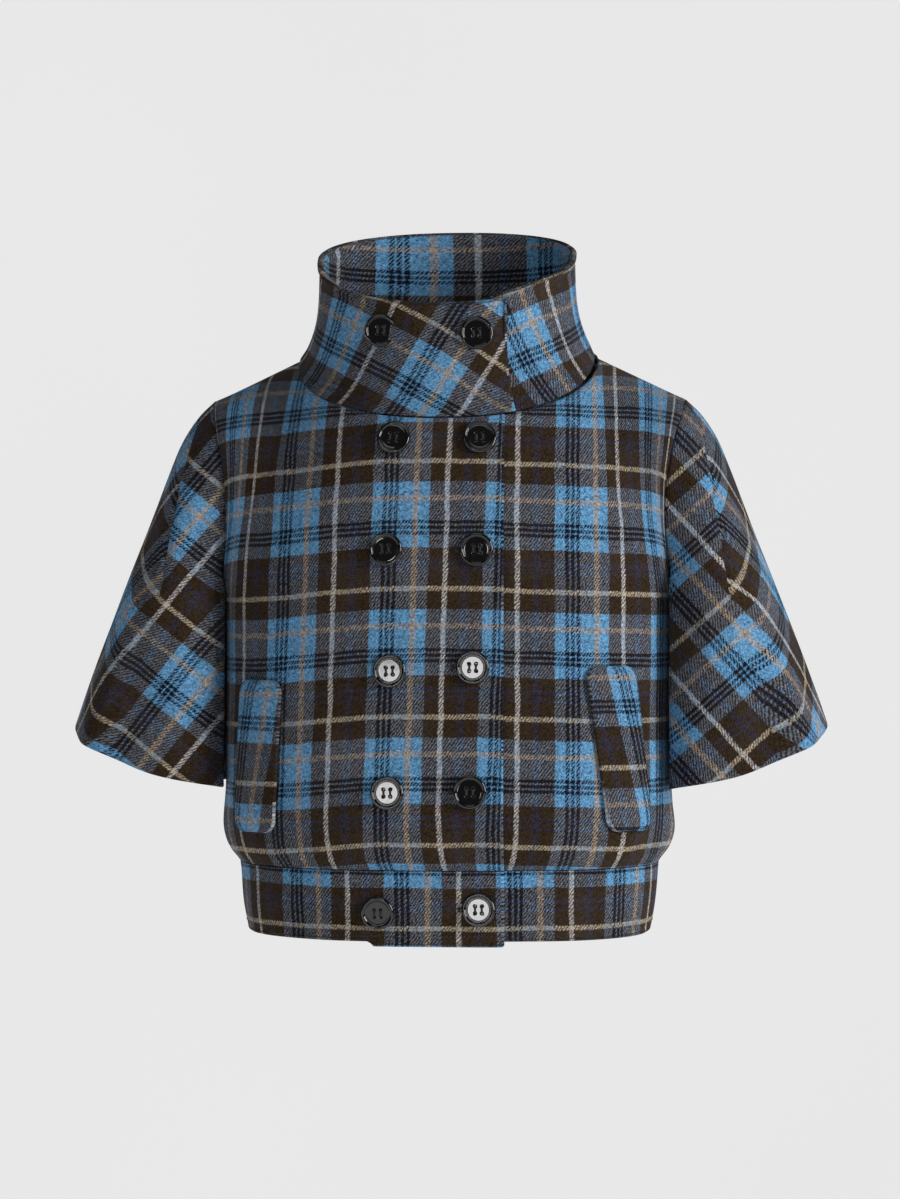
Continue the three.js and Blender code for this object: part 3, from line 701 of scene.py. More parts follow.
def build_plaid_group():
    """Colour and height of the twill plaid at a place on the flat cloth, in metres."""
    t, given, out = new_group(
        "plaid_twill",
        {"Cloth": ("Vector", None), "Fuzz": ("Float", 0.5)},
        {"Color": ("Color", None), "Height": ("Float", None)},
    )
    place = t.add("ShaderNodeSeparateXYZ")
    t.link(given.outputs["Cloth"], place.inputs[0])
    x, y = place.outputs[0], place.outputs[1]
    drift = t.math("SUBTRACT", t.noise(given.outputs["Cloth"], 26.0, 1.0), 0.5)
    ragged = t.math("SUBTRACT", t.noise(given.outputs["Cloth"], 520.0, 3.0, 0.7), 0.5)
    shift = t.math("ADD", t.math("MULTIPLY", drift, 0.0026), t.math("MULTIPLY", ragged, 0.0034))
    warp_x = t.math("ADD", x, shift)
    weft_y = t.math("ADD", y, t.math("MULTIPLY", shift, 0.8))
    warp_phase = phase_of(t, warp_x, WARP_REPEAT * MM)
    weft_phase = phase_of(t, weft_y, WEFT_REPEAT * MM)

    slant = t.math("ADD", x, t.math("MULTIPLY", y, 0.72))
    waver = t.math("MULTIPLY", t.math("SUBTRACT", t.noise(given.outputs["Cloth"], 260.0, 2.0), 0.5), 0.0034)
    twill = wave(t, t.math("ADD", slant, waver), TWILL_PITCH * MM)
    loose = t.math("SUBTRACT", t.noise(given.outputs["Cloth"], 640.0, 2.0, 0.6), 0.5)
    rib = t.math("ADD", t.math("MULTIPLY", twill, 0.46), t.math("MULTIPLY", loose, 2.3))

    def thread(phase, ground_rows, line_rows, count):
        """Colour of one set of yarns, how blue its ground shows, and how much a line covers it."""
        blue = t.bands(phase, [(*row, (1.0, 1.0, 1.0, 1.0)) for row in ground_rows], count)[1]
        rows = [(a, b, (*YARN[yarn][:3], strength)) for a, b, yarn, strength in line_rows]
        line = t.bands(phase, rows, count)
        ground = t.blend(blue, YARN["brown"], YARN["blue"])
        return t.blend(line[1], ground, line[0]), blue, line[1]

    warp, warp_blue, warp_line = thread(warp_phase, WARP_GROUND, WARP_LINES, WARP_THREADS)
    weft, weft_blue, weft_line = thread(weft_phase, WEFT_GROUND, WEFT_LINES, WEFT_THREADS)
    lead = t.math("MULTIPLY", t.math("SUBTRACT", warp_line, weft_line), 0.16)
    warp_up = t.math("ADD", t.math("ADD", 0.5, rib), lead, clamp=True)
    woven = t.blend(warp_up, weft, warp)
    opposed = t.math("ABSOLUTE", t.math("SUBTRACT", warp_blue, weft_blue))
    plain = t.math("SUBTRACT", 1.0, t.math("MAXIMUM", warp_line, weft_line), clamp=True)
    blue_up = t.math("ADD", 0.5, t.math("MULTIPLY", rib, t.math("SUBTRACT", warp_blue, weft_blue)), clamp=True)
    crossed = t.blend(blue_up, CROSSED_DARK, CROSSED_LIGHT)
    colour = t.blend(t.math("MULTIPLY", t.math("MULTIPLY", opposed, plain), 0.85), woven, crossed)

    fine = t.noise(given.outputs["Cloth"], 620.0, 3.0, 0.8)
    cloudy = t.noise(given.outputs["Cloth"], 60.0, 3.0, 0.6)
    mottle = t.noise(given.outputs["Cloth"], 300.0, 2.0, 0.6)
    patches = t.math("ADD", t.spread(cloudy, 0.3, 0.7, -0.1, 0.1), t.spread(mottle, 0.34, 0.66, -0.28, 0.28))
    shade = t.math("ADD", t.spread(fine, 0.34, 0.66, 0.35, 1.65), patches)
    grey = t.add("ShaderNodeCombineXYZ")
    for socket in grey.inputs:
        t.link(shade, socket)
    colour = t.blend(1.0, colour, grey.outputs[0], "MULTIPLY")
    hairs = t.add("ShaderNodeMapping", vector_type="TEXTURE")
    t.link(given.outputs["Cloth"], hairs.inputs[0])
    hairs.inputs["Rotation"].default_value = (0, 0, 0.6)
    hairs.inputs["Scale"].default_value = (5.0, 1.0, 1.0)
    hair = t.spread(t.noise(hairs.outputs[0], 2600.0, 2.0, 0.7), 0.6, 0.8)
    veil = t.math("MULTIPLY", hair, t.math("MULTIPLY", given.outputs["Fuzz"], 0.22))
    colour = t.blend(veil, colour, linear(150, 142, 138))
    t.link(colour, out.inputs["Color"])
    nap = t.math("ADD", t.math("MULTIPLY", twill, 0.35), t.math("MULTIPLY", fine, 1.0))
    t.link(t.math("ADD", nap, t.math("MULTIPLY", hair, 0.5)), out.inputs["Height"])
    return t.tree


def build_wear_group():
    """A mask of rubbed and handled places, from soft noise on the object."""
    t, given, out = new_group(
        "handling",
        {"Scale": ("Float", 40.0), "Amount": ("Float", 0.5)},
        {"Mask": ("Float", None)},
    )
    place = t.add("ShaderNodeTexCoord")
    patches = t.noise(place.outputs["Object"], given.outputs["Scale"], 4.0, 0.62)
    mask = t.math("MULTIPLY", t.spread(patches, 0.48, 0.72), given.outputs["Amount"], clamp=True)
    t.link(mask, out.inputs["Mask"])
    return t.tree


plaid_group = build_plaid_group()
handling_group = build_wear_group()


def new_material(name):
    material = bpy.data.materials.new(name)
    material.use_nodes = True
    t = Tree(material.node_tree)
    shader = next(n for n in material.node_tree.nodes if n.type == "BSDF_PRINCIPLED")
    return material, t, shader


def wool_material():
    material, t, shader = new_material("brushed_plaid_wool")
    cloth = t.add("ShaderNodeUVMap", uv_map="ClothMap")
    plaid = t.add("ShaderNodeGroup", node_tree=plaid_group)
    t.link(cloth.outputs[0], plaid.inputs["Cloth"])
    plaid.inputs["Fuzz"].default_value = 0.6
    rubbed = t.add("ShaderNodeGroup", node_tree=handling_group)
    rubbed.inputs["Scale"].default_value = 22.0
    rubbed.inputs["Amount"].default_value = 0.08
    t.link(t.blend(rubbed.outputs[0], plaid.outputs["Color"], linear(120, 112, 108)), shader.inputs["Base Color"])
    t.link(t.spread(plaid.outputs["Height"], 0.2, 1.4, 0.98, 0.86), shader.inputs["Roughness"])
    bump = t.add("ShaderNodeBump")
    bump.inputs["Strength"].default_value = 0.55
    bump.inputs["Distance"].default_value = 0.0006
    t.link(plaid.outputs["Height"], bump.inputs["Height"])
    t.link(bump.outputs[0], shader.inputs["Normal"])
    shader.inputs["Sheen Weight"].default_value = 0.05
    shader.inputs["Sheen Roughness"].default_value = 0.55
    shader.inputs["Sheen Tint"].default_value = (0.85, 0.88, 0.95, 1)
    shader.inputs["Specular IOR Level"].default_value = 0.08
    return material


def button_material():
    material, t, shader = new_material("polished_black_button")
    scuffs = t.add("ShaderNodeGroup", node_tree=handling_group)
    scuffs.inputs["Scale"].default_value = 260.0
    scuffs.inputs["Amount"].default_value = 0.35
    t.link(t.blend(scuffs.outputs[0], linear(7, 7, 9), linear(15, 15, 18)), shader.inputs["Base Color"])
    t.link(t.spread(scuffs.outputs[0], 0.0, 0.6, 0.07, 0.17), shader.inputs["Roughness"])
    shader.inputs["Specular IOR Level"].default_value = 0.62
    shader.inputs["Coat Weight"].default_value = 0.5
    shader.inputs["Coat Roughness"].default_value = 0.05
    return material


def thread_material(name, colour, light):
    material, t, shader = new_material(name)
    place = t.add("ShaderNodeTexCoord")
    ply = wave(t, t.math("ADD", *separate(t, place.outputs["Object"])[0:2]), 0.0007)
    uneven = t.noise(place.outputs["Object"], 1800.0, 2.0)
    shade = t.spread(t.math("ADD", t.math("MULTIPLY", ply, 0.3), uneven), 0.2, 1.0)
    # The thread is painted lighter on its raised ply ridges, the same height that drives the bump, as a painted
    # highlight, and darker in the grooves as painted shade; the noise adds random unevenness of the yarn.
    t.link(t.blend(shade, colour, light), shader.inputs["Base Color"])
    bump = t.add("ShaderNodeBump")
    bump.inputs["Strength"].default_value = 0.4
    bump.inputs["Distance"].default_value = 0.0002
    t.link(shade, bump.inputs["Height"])
    t.link(bump.outputs[0], shader.inputs["Normal"])
    shader.inputs["Roughness"].default_value = 0.62
    shader.inputs["Sheen Weight"].default_value = 0.2
    return material


def separate(t, vector):
    node = t.add("ShaderNodeSeparateXYZ")
    t.link(vector, node.inputs[0])
    return node.outputs


wool = wool_material()
button_gloss = button_material()
# Each thread's second colour is the painted highlight of its ply ridges.
dark_thread = thread_material("black_thread", linear(12, 12, 14), linear(38, 38, 42))
brown_thread = thread_material("brown_sewing_thread", linear(40, 30, 22), linear(92, 78, 62))


def finish_piece(piece, nodes):
    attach(piece, "root")
    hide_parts(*nodes)


# How the plaid lies on each panel: where a blue band starts across, and a blue row down,
# in millimetres on the panel, and how far the rows sag towards each side seam
PANEL_GRAIN = {
    "front_right": {"way": 1, "warp": -53.1, "weft": -94.4, "sag": 9.0, "lean": 0.03},
    "front_left": {"way": 1, "warp": 92.4, "weft": -96.0, "sag": 3.0},
    "back": {"way": -1, "warp": -23.0, "weft": -94.4, "sag": 5.0},
    "hem_band_right": {"way": 1, "warp": -45.0, "weft": -367.1, "sag": 0.0},
    "hem_band_left": {"way": 1, "warp": -45.0, "weft": -367.1, "sag": 0.0},
    "hem_band_back": {"way": -1, "warp": -31.0, "weft": -367.1, "sag": 0.0},
}


def panel_uv(points, level_row, name):
    """Straight grain on a panel: across by the length of one row, down by each column's length."""
    grain = PANEL_GRAIN[name]
    row = points[:, level_row]
    across = path_length(row[:, None], 0, (0, 1))[:, 0]
    middle = np.argmin(np.abs(row[:, 0]))
    across = (across - across[middle]) * np.sign(row[-1, 0] - row[0, 0]) + row[middle, 0]
    down = -path_length(points, 1, (1, 2))
    down = down - down[:, [level_row]] - row[:, [2]]
    down = mix(down, -points[..., 2], 0.8 * smoothstep(np.abs(points[..., 0]), 60, 160))
    lean = points[..., 0] - row[:, [0]]
    above = np.arange(points.shape[1]) > level_row
    x = across[:, None] + np.where(above[None, :], lean, 0)
    sag = grain["sag"] * smoothstep(np.abs(x), 30, 170)
    x = x - grain.get("lean", 0) * (points[..., 2] + 100)
    return np.stack([grain["way"] * x - grain["warp"], down + grain["weft"] - sag], axis=-1)


def seam_at(points, y):
    """Points that lie on the side and shoulder seams, moved to their side of the gap."""
    on_seam = np.abs(points[..., 1]) < SEAM_GAP
    points[..., 1] = np.where(on_seam, y, points[..., 1])
    return points


def edge_hold(count, reach):
    """Nothing at both ends of a run of points, rising to 1 within some of them."""
    k = np.arange(count)
    return smoothstep(np.minimum(k, count - 1 - k), 0, reach)


LOWER_ROWS, UPPER_ROWS = 78, 84
PANEL_ROWS = np.concatenate([
    np.linspace(0, LOWER_SHARE, LOWER_ROWS + 1),
    np.linspace(LOWER_SHARE, 1, UPPER_ROWS + 1)[1:],
])


def panel_normals(points, flip):
    """Normals whose edge walls meet the next piece: flat at the hem, level round the armhole."""
    normals = grid_normals(points) * (-1 if flip else 1)
    upper = PANEL_ROWS >= LOWER_SHARE
    for column, way in ((0, 1), (-1, -1)):
        if np.abs(points[column, LOWER_ROWS, 1]) > 2 * SEAM_GAP:
            continue
        for step, share in enumerate((1, 0.75, 0.5, 0.28, 0.12)):
            k = column + way * step
            radial = points[k] - ARMHOLE_CENTRE
            radial[:, 0] = 0
            radial = unit(radial)
            square = normals[k].copy()
            square[:, 1] *= 1 - share
            eased = mix(normals[k], radial, share)
            normals[k] = np.where(upper[:, None], eased, square)
    for row, share in ((0, 1), (1, 0.6), (2, 0.3)):
        normals[:, row, 2] *= 1 - share
    return unit(normals)


def front_panel(name, side, lap, layer, out, creases, seed):
    """A front: its cut edge laps the centre, and its layer settles to the body further out."""
    surface = torso_surface(1, side)
    corner = 1 - FRONT_SHOULDER_SHARE
    edge = front_across(side, lap, PANEL_ROWS)
    to_corner = np.linspace(0, 1, 67)[:, None]
    to_side = np.linspace(corner, 1, 33)[1:, None]
    across = np.concatenate([mix(edge[None, :], corner, to_corner), to_side + 0 * edge[None, :]])
    points = surface(across, PANEL_ROWS[None, :])
    points = layered(points, out * fade(points[..., 0], layer))
    points = seam_at(points, -SEAM_GAP / 2)
    uv = panel_uv(mirrored(points, side), LOWER_ROWS, name)
    hold = smoothstep(np.arange(len(points))[::-1], 0, 8)[:, None] * edge_hold(len(PANEL_ROWS), 5)[None, :]
    near_edge = smoothstep(np.arange(len(points)), 0, 5)[:, None]
    x = side * points[..., 0]
    bumps = creased(x, points[..., 2], creases) + 0.75 * slow_waves(x, points[..., 2], seed)
    quiet = mix(0.35, 1, smoothstep(points[..., 0], layer[0] - 20, layer[1]))
    points = points + grid_normals(points) * (bumps * hold * quiet * mix(0.6, 1, near_edge))[..., None]
    points = mirrored(points, side)
    flip = side < 0
    piece = cloth_shell(
        name, points, CLOTH, uv, wool, flip=flip, normals=panel_normals(points, flip), start=CLOTH / 2,
    )
    finish_piece(piece, [name])
    return piece, points


over_front, over_points = front_panel("front_right", -1, OVER_LAP, OVER_LAYER, CLOTH_LAP, FRONT_CREASES, 1.0)
under_front, under_points = front_panel("front_left", 1, UNDER_LAP, UNDER_LAYER, -CLOTH_LAP, FRONT_CREASES, 2.0)


def back_panel():
    across = np.linspace(0, 1, 161)[:, None]
    points = torso_surface(-1, 1)(across, PANEL_ROWS[None, :])
    points = seam_at(points, SEAM_GAP / 2)
    uv = panel_uv(points, LOWER_ROWS, "back")
    hold = edge_hold(len(points), 8)[:, None] * edge_hold(len(PANEL_ROWS), 5)[None, :]
    x = points[..., 0]
    bumps = creased(x, points[..., 2], BACK_CREASES) + 0.8 * slow_waves(x, points[..., 2], 3.0)
    points = points + grid_normals(points) * (bumps * hold)[..., None]
    piece = cloth_shell("back", points, CLOTH, uv, wool, normals=panel_normals(points, False))
    finish_piece(piece, ["back"])
    return piece, points


back, back_points = back_panel()

# Soft creases of a sleeve: (angle from the overarm line, share down) centre, lean, lengths, depth
SLEEVE_CREASES = (
    (36, 0.45, 84, 60, 9, 1.2),
    (70, 0.75, 78, 50, 8, -1.1),
    (104, 0.62, 98, 56, 9, 1.2),
    (140, 0.4, 70, 40, 8, -1.0),
    (20, 0.8, 86, 46, 9, -1.0),
    (222, 0.45, 96, 50, 9, 1.2),
    (256, 0.7, 82, 56, 9, -1.2),
    (296, 0.5, 94, 62, 10, 1.2),
    (330, 0.78, 84, 46, 9, 1.0),
)
# How the cloth of each sleeve is turned, and where the dart's tip lies on it, across and down
SLEEVE_GRAIN = {1: (42, 82, 50), -1: (39, 24, 42)}


def sleeve(name, side):
    """A cape sleeve cut on the bias, its plaid bent round the tip of the overarm dart."""
    share = np.linspace(0, 1, 101)
    dart = np.interp(share, DART["share"], DART["turn"])
    behind, ahead = 104, 46
    back_turns = mix(180, 360 + dart[None, :], np.linspace(0, 1, behind + 1)[:, None])
    front_turns = mix(360 + dart[None, :], 540, np.linspace(0, 1, ahead + 1)[1:, None])
    degrees = np.concatenate([back_turns, front_turns])
    v = np.broadcast_to(share[None, :], degrees.shape)
    points = sleeve_surface(np.radians(degrees), v)

    seam = points[behind]
    tip_x, tip_z = (np.interp(DART_TIP_SHARE, share, seam[:, k]) for k in (0, 2))
    x, y, z = (points[..., k] for k in range(3))
    ahead_x = x + np.where(degrees < 450, 0.6, -0.6) * np.maximum(y + 55, 0) - tip_x
    seam_x, seam_y = (np.interp(z, seam[::-1, 2], seam[::-1, k]) for k in (0, 1))
    over_x = np.interp(z, SLEEVE_OVER["z"][::-1], SLEEVE_OVER["x"][::-1])
    quarter = SLEEVE_ROUND * np.hypot(over_x - seam_x, seam_y)
    round_y = np.where(degrees < 270, 100 - np.minimum(y, 50), np.minimum(y, 50))
    past_over = np.where(y > 0, over_x - x + 0.9 * round_y, -SLEEVE_ROUND * np.hypot(over_x - x, y))
    behind_x = seam_x - tip_x + quarter + past_over
    behind_x += math.tan(DART_WEDGE) * np.maximum(z - tip_z, 0)

    def chart(across):
        turned, *start = SLEEVE_GRAIN[side]
        c, s = math.cos(math.radians(turned)), math.sin(math.radians(turned)) * side
        return np.stack([side * across * c + z * s + start[0], side * across * s - z * c + start[1]], axis=-1)

    columns = np.arange(len(points))[:, None]
    uv = chart(np.where(columns < behind, behind_x, ahead_x))
    uv_end = chart(np.where(columns <= behind, behind_x, ahead_x))

    hold = smoothstep(v, 0, 0.14) * mix(1, 0.5, smoothstep(v, 0.93, 1))
    ring = degrees % 360
    bumps = np.zeros_like(ring)
    for at, low, lean, length, width, height in SLEEVE_CREASES:
        off = ((ring - at + 540) % 360 - 180) * 1.9
        bumps += creased(off, -300 * v, ((0, -300 * low, lean, length, width, height),))
    bumps += 0.7 * slow_waves(2 * points[..., 1], points[..., 2], 4.0 + side)
    gather = np.exp(-(((degrees - 360 - dart) / 3.2) ** 2)) * fade(v, (DART_TIP_SHARE - 0.05, DART_TIP_SHARE))
    bumps -= 1.3 * gather
    bumps += 1.1 * np.exp(-(((degrees - 360 - dart) / 11) ** 2) - ((v - DART_TIP_SHARE - 0.03) / 0.09) ** 2)
    points = points + grid_normals(points, True) * (bumps * hold)[..., None]
    inward = ARMHOLE_CENTRE - points[:, :1]
    inward[..., 0] = 0
    turned_in = [points[:, :1] + unit(inward) * deep + np.array([-wide, 0, 0]) for deep, wide in ((3.6, 7), (3.4, 1.2))]
    points = np.concatenate([*turned_in, points], axis=1)
    uv, uv_end = (np.concatenate([m[:, :1], m[:, :1], m], axis=1) for m in (uv, uv_end))
    points = mirrored(points, side)
    flip = side < 0
    normals = grid_normals(points, True) * (-1 if flip else 1)
    centre = mirrored(ARMHOLE_CENTRE, side)
    for row, weight in ((0, 1), (1, 1), (2, 1), (3, 0.7), (4, 0.4), (5, 0.2)):
        radial = points[:, row] - centre
        radial[:, 0] = 0
        normals[:, row] = mix(normals[:, row], unit(radial), weight)
    piece = cloth_shell(
        name, points, CLOTH, uv, wool, closed=True, flip=flip, normals=unit(normals), uv_end=uv_end, high=CLOTH / 2,
    )
    finish_piece(piece, [name])
    return piece, points, uv


left_sleeve, left_sleeve_points, left_sleeve_uv = sleeve("sleeve_left", 1)
right_sleeve, right_sleeve_points, right_sleeve_uv = sleeve("sleeve_right", -1)

# The collar's cut: a curved strip whose grain leans away from the centre back
COLLAR_CURVE = 610.0
COLLAR_GRAIN = (-13.0, -7.0)
COLLAR_LINING_GRAIN = (-71.7, 25.1, 0.63)


def collar_piece():
    u, v = np.linspace(0, 1, 321)[:, None], np.linspace(0, 1, 45)[None, :]
    points = collar_surface(*np.broadcast_arrays(u, v))
    level = path_length(points, 0, (0, 1))[:, 20]
    rear = np.argmax(points[:, 20, 1])
    right = (level[rear] - level)[:, None]
    turn, radius = right / COLLAR_CURVE, COLLAR_CURVE - points[..., 2]
    flat_x, flat_y = radius * np.sin(turn), COLLAR_CURVE - radius * np.cos(turn)
    uv = np.stack([flat_x + COLLAR_GRAIN[0], COLLAR_GRAIN[1] - flat_y], axis=-1)
    start, top, stretch = COLLAR_LINING_GRAIN
    inside_x = (-right * stretch - start * stretch) + 0 * points[..., 2]
    uv_inside = np.stack([inside_x, top - points[..., 2]], axis=-1)
    hold = edge_hold(321, 6)[:, None] * edge_hold(45, 5)[None, :]
    side_x = np.broadcast_to(-right, points[..., 2].shape)
    bumps = 0.8 * slow_waves(side_x, points[..., 2], 5.0)
    bumps += creased(side_x, points[..., 2], (
        (-250, 10, 20, 40, 8, 1.0), (-180, 0, 84, 30, 8, -1.0), (-120, 30, 70, 34, 9, 0.9),
        (-30, 60, 88, 30, 10, 0.8), (60, 40, 92, 30, 9, -0.8), (150, 20, 100, 34, 8, 1.0), (230, 0, 96, 30, 8, 1.0),
    ))
    roll = 1.5 * np.exp(-(((v - 0.965) / 0.035) ** 2)) - 0.5 * np.exp(-(((v - 0.9) / 0.02) ** 2))
    points = points - grid_normals(points) * (bumps * hold + roll)[..., None]
    normals = -grid_normals(points)
    normals[..., 2] *= 0.15
    piece = cloth_shell(
        "collar", points, DOUBLED, uv, wool, flip=True, normals=unit(normals), uv_inside=uv_inside,
        high=DOUBLED / 2, start=DOUBLED / 2, end=DOUBLED / 2,
    )
    finish_piece(piece, ["collar"])
    return piece, points


collar, collar_points = collar_piece()


def flap_edge(x):
    return mix(FLAP_EDGE_Z, HEM_EDGE_Z, smoothstep(x, *FLAP_DROP))


def hem_piece(name, side, lap, layer, out, edge):
    u, v = np.linspace(0, 1, 121)[:, None], np.linspace(0, 1, 31)[None, :]
    points = hem_front_surface(lap, edge, *np.broadcast_arrays(u, v))
    points = seam_at(layered(points, out * fade(points[..., 0], layer)), -SEAM_GAP / 2)
    points = mirrored(points, side)
    return hem_shell(name, points, side < 0, {"start": DOUBLED / 2})


def hem_shell(name, points, flip, edges):
    uv = panel_uv(points, -1, name)
    hold = edge_hold(len(points), 8)[:, None] * edge_hold(31, 4)[None, :]
    x, z = points[..., 0] + points[..., 1] * 0.5, points[..., 2]
    rows = smoothstep(z, HEM_EDGE_Z + 4, HEM_EDGE_Z + 12)
    puckers = 0.35 * np.sin(x / 3.1 + 2.1 * np.sin(x / 17)) * (1 - rows)
    bumps = 0.7 * slow_waves(x, 2 * z, 6.0) + puckers
    normals = grid_normals(points) * (-1 if flip else 1)
    points = points + normals * (bumps * hold)[..., None]
    normals[..., 2] = 0
    for column in (0, -1):
        if abs(points[column, -1, 1]) < 2 * SEAM_GAP:
            normals[column, :, 1] = 0
    piece = cloth_shell(name, points, DOUBLED, uv, wool, flip=flip, normals=unit(normals), low=DOUBLED / 2, **edges)
    finish_piece(piece, [name])
    return piece, points


hem_right, hem_right_points = hem_piece("hem_band_right", -1, OVER_LAP, OVER_LAYER, BAND_LAP, flap_edge)
hem_left, hem_left_points = hem_piece(
    "hem_band_left", 1, UNDER_LAP, UNDER_LAYER, -BAND_LAP, lambda x: HEM_EDGE_Z + 0 * x,
)


def hem_back_piece():
    u, v = np.broadcast_arrays(np.linspace(0, 1, 181)[:, None], np.linspace(0, 1, 31)[None, :])
    z = mix(HEM_EDGE_Z, HEM_TOP_Z, v)
    x, y = oval(sample_table(HEM_SECTIONS, "z", z), mix(np.pi / 2, 1.5 * np.pi, u), BODY_SQUARENESS)
    return hem_shell("hem_band_back", seam_at(point_array(x, y, z), SEAM_GAP / 2), False, {})


hem_back, hem_back_points = hem_back_piece()

# How the plaid lies on each welt: place across of its blue band's end, and of a blue row down
WELT_GRAIN = {"pocket_welt_left": (104.0, -237.8), "pocket_welt_right": (-136.0, -252.3)}


def welt(pocket):
    side, name = pocket["side"], pocket["name"]
    u, v = np.broadcast_arrays(np.linspace(0, 1, 29)[:, None], np.linspace(0, 1, 81)[None, :])
    to_end = np.maximum(WELT_CORNER - np.minimum(v, 1 - v), 0) / WELT_CORNER
    inset = 0.22 * (1 - np.sqrt(1 - to_end**2))
    across = mix(inset, 1 - inset, u)
    inner, outer = pocket["inner"], pocket["outer"]
    angle = mix(mix(inner[1], inner[0], v), mix(outer[1], outer[0], v), across)
    points = body_point(np.radians(angle), mix(pocket["bottom"], pocket["top"], v), side)
    points = layered(points, np.full(u.shape, 2 * SEAM_GAP + WELT))
    swell = 2.0 * np.sin(np.pi * u) * smoothstep(v, 0, 0.1) * fade(v, (0.9, 1))
    points = points + grid_normals(points) * (swell + 0.4 * slow_waves(points[..., 0], points[..., 2], 7.0))[..., None]
    points = mirrored(points, side)
    blue_end, row_start = WELT_GRAIN[name]
    middle = points[:, 40]
    run = path_length(middle[:, None], 0, (0, 1))[:, 0] * side
    x = (run - run[14] + middle[14, 0])[:, None] + 0.12 * (points[..., 2] - middle[14, 2]) * side
    uv = np.stack([x - blue_end + WARP_REPEAT * 58 / WARP_THREADS, row_start - points[..., 2]], axis=-1)
    edges = {edge: WELT / 2 for edge in ("low", "high", "start", "end")}
    piece = cloth_shell(name, points, WELT, uv, wool, flip=side < 0, **edges)
    finish_piece(piece, [name])
    return piece, points


welts = [welt(pocket) for pocket in POCKETS]


def tube(path, radius, sides=6):
    """Vertices and faces of a round thread along a path, with closed ends."""
    path = np.asarray(path, float)
    ahead = unit(np.gradient(path, axis=0))
    helper = np.array([0.0, 0.0, 1.0]) if abs(ahead[0, 2]) < 0.8 else np.array([1.0, 0.0, 0.0])
    wide = unit(np.cross(ahead, helper))
    high = np.cross(wide, ahead)
    turn = np.linspace(0, 2 * np.pi, sides, endpoint=False)
    width = radius * np.where(np.isin(np.arange(len(path)), (0, len(path) - 1)), 0.55, 1.0)
    ring = wide[:, None] * np.cos(turn)[:, None] + high[:, None] * np.sin(turn)[:, None]
    vertices = (path[:, None] + ring * width[:, None, None]).reshape(-1, 3)
    faces = []
    for i in range(len(path) - 1):
        for k in range(sides):
            k2 = (k + 1) % sides
            faces.append((i * sides + k, i * sides + k2, (i + 1) * sides + k2, (i + 1) * sides + k))
    faces.append(tuple(range(sides))[::-1])
    faces.append(tuple((len(path) - 1) * sides + k for k in range(sides)))
    return vertices, faces


def threads_piece(name, tubes, material):
    vertices, faces, count = [], [], 0
    for own_vertices, own_faces in tubes:
        vertices.append(own_vertices)
        faces += [tuple(count + k for k in face) for face in own_faces]
        count += len(own_vertices)
    vertices = np.concatenate(vertices)
    corners = [vertices[k][:2] * MM for face in faces for k in face]
    piece = make_mesh(name, vertices, faces, corners, [material])
    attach(piece, "root")
    return piece


# A button's profile from its middle out and over the rim to its back, and its four holes
BUTTON_RIM = (
    (10.25, 3.08), (10.45, 3.2), (10.62, 3.5), (10.95, 3.95), (11.4, 4.22), (11.95, 4.32), (12.5, 4.2),
    (12.98, 3.85), (13.3, 3.3), (13.46, 2.6), (13.45, 1.9), (13.2, 1.2), (12.7, 0.6), (12.0, 0.2), (11.2, 0.02), (0, 0),
)
BUTTON_FLOOR = 3.05
HOLE_REACH, HOLE_RADIUS, HOLE_DEPTH = 2.65, 1.3, 2.3
BUTTON_TURNS = 96


def button_floor(radius, angle):
    x, y = radius * np.cos(angle), radius * np.sin(angle)
    height = BUTTON_FLOOR + 0.1 * np.exp(-(((radius - 9.3) / 0.28) ** 2))
    for sx in (-1, 1):
        for sy in (-1, 1):
            off = np.hypot(x - sx * HOLE_REACH, y - sy * HOLE_REACH)
            height = height - HOLE_DEPTH * fade(off, (HOLE_RADIUS - 0.18, HOLE_RADIUS + 0.12))
    return height


def button_mesh(name, seat, right, up, out):
    angle = np.linspace(0, 2 * np.pi, BUTTON_TURNS, endpoint=False)
    radii = np.concatenate([np.arange(0.25, 5.3, 0.22), np.linspace(5.6, 10.1, 14)])
    rings = [(r * np.cos(angle), r * np.sin(angle), button_floor(r, angle)) for r in radii]
    rings += [(r * np.cos(angle), r * np.sin(angle), h + 0 * angle) for r, h in BUTTON_RIM[:-1]]
    local = np.concatenate([[[0, 0, BUTTON_FLOOR]], *(np.stack(ring, axis=-1) for ring in rings), [[0, 0, 0]]])
    vertices = seat + local[:, :1] * right + local[:, 1:2] * up + local[:, 2:] * out
    n, last = BUTTON_TURNS, len(local) - 1
    faces = [(0, 1 + k, 1 + (k + 1) % n) for k in range(n)]
    for i in range(len(rings) - 1):
        a, b = 1 + i * n, 1 + (i + 1) * n
        faces += [(a + k, b + k, b + (k + 1) % n, a + (k + 1) % n) for k in range(n)]
    a = 1 + (len(rings) - 1) * n
    faces += [(last, a + (k + 1) % n, a + k) for k in range(n)]
    corners = [local[k][:2] * MM for face in faces for k in face]
    piece = make_mesh(f"{name}_disc", vertices, faces, corners, [button_gloss])
    finish_piece(piece, [name])
    return piece


def cad_points(name):
    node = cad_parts[name]
    return np.array([node.matrix_world @ v.co for v in node.data.vertices]) / MM


# Camera: a little to the wearer's left of the front, level with the chest
CAMERA_TURN, CAMERA_REACH, CAMERA_Z = math.radians(4), 2500.0, -189.0
CAMERA_AT = np.array([
    CAMERA_REACH * math.sin(CAMERA_TURN), -CAMERA_REACH * math.cos(CAMERA_TURN), CAMERA_Z,
])
# The softbox that some buttons mirror, and the place on it that each of them shows
SOFTBOX_AT = np.array([-330.0, -2100.0, -300.0])
MIRRORING = {
    "button_collar_outer": (560, 420),
    "button_waist_outer": (-60, 95),
    "button_waist_inner": (10, 0),
    "button_low_outer": (0, 72),
    "button_hem_inner": (0, 0),
}


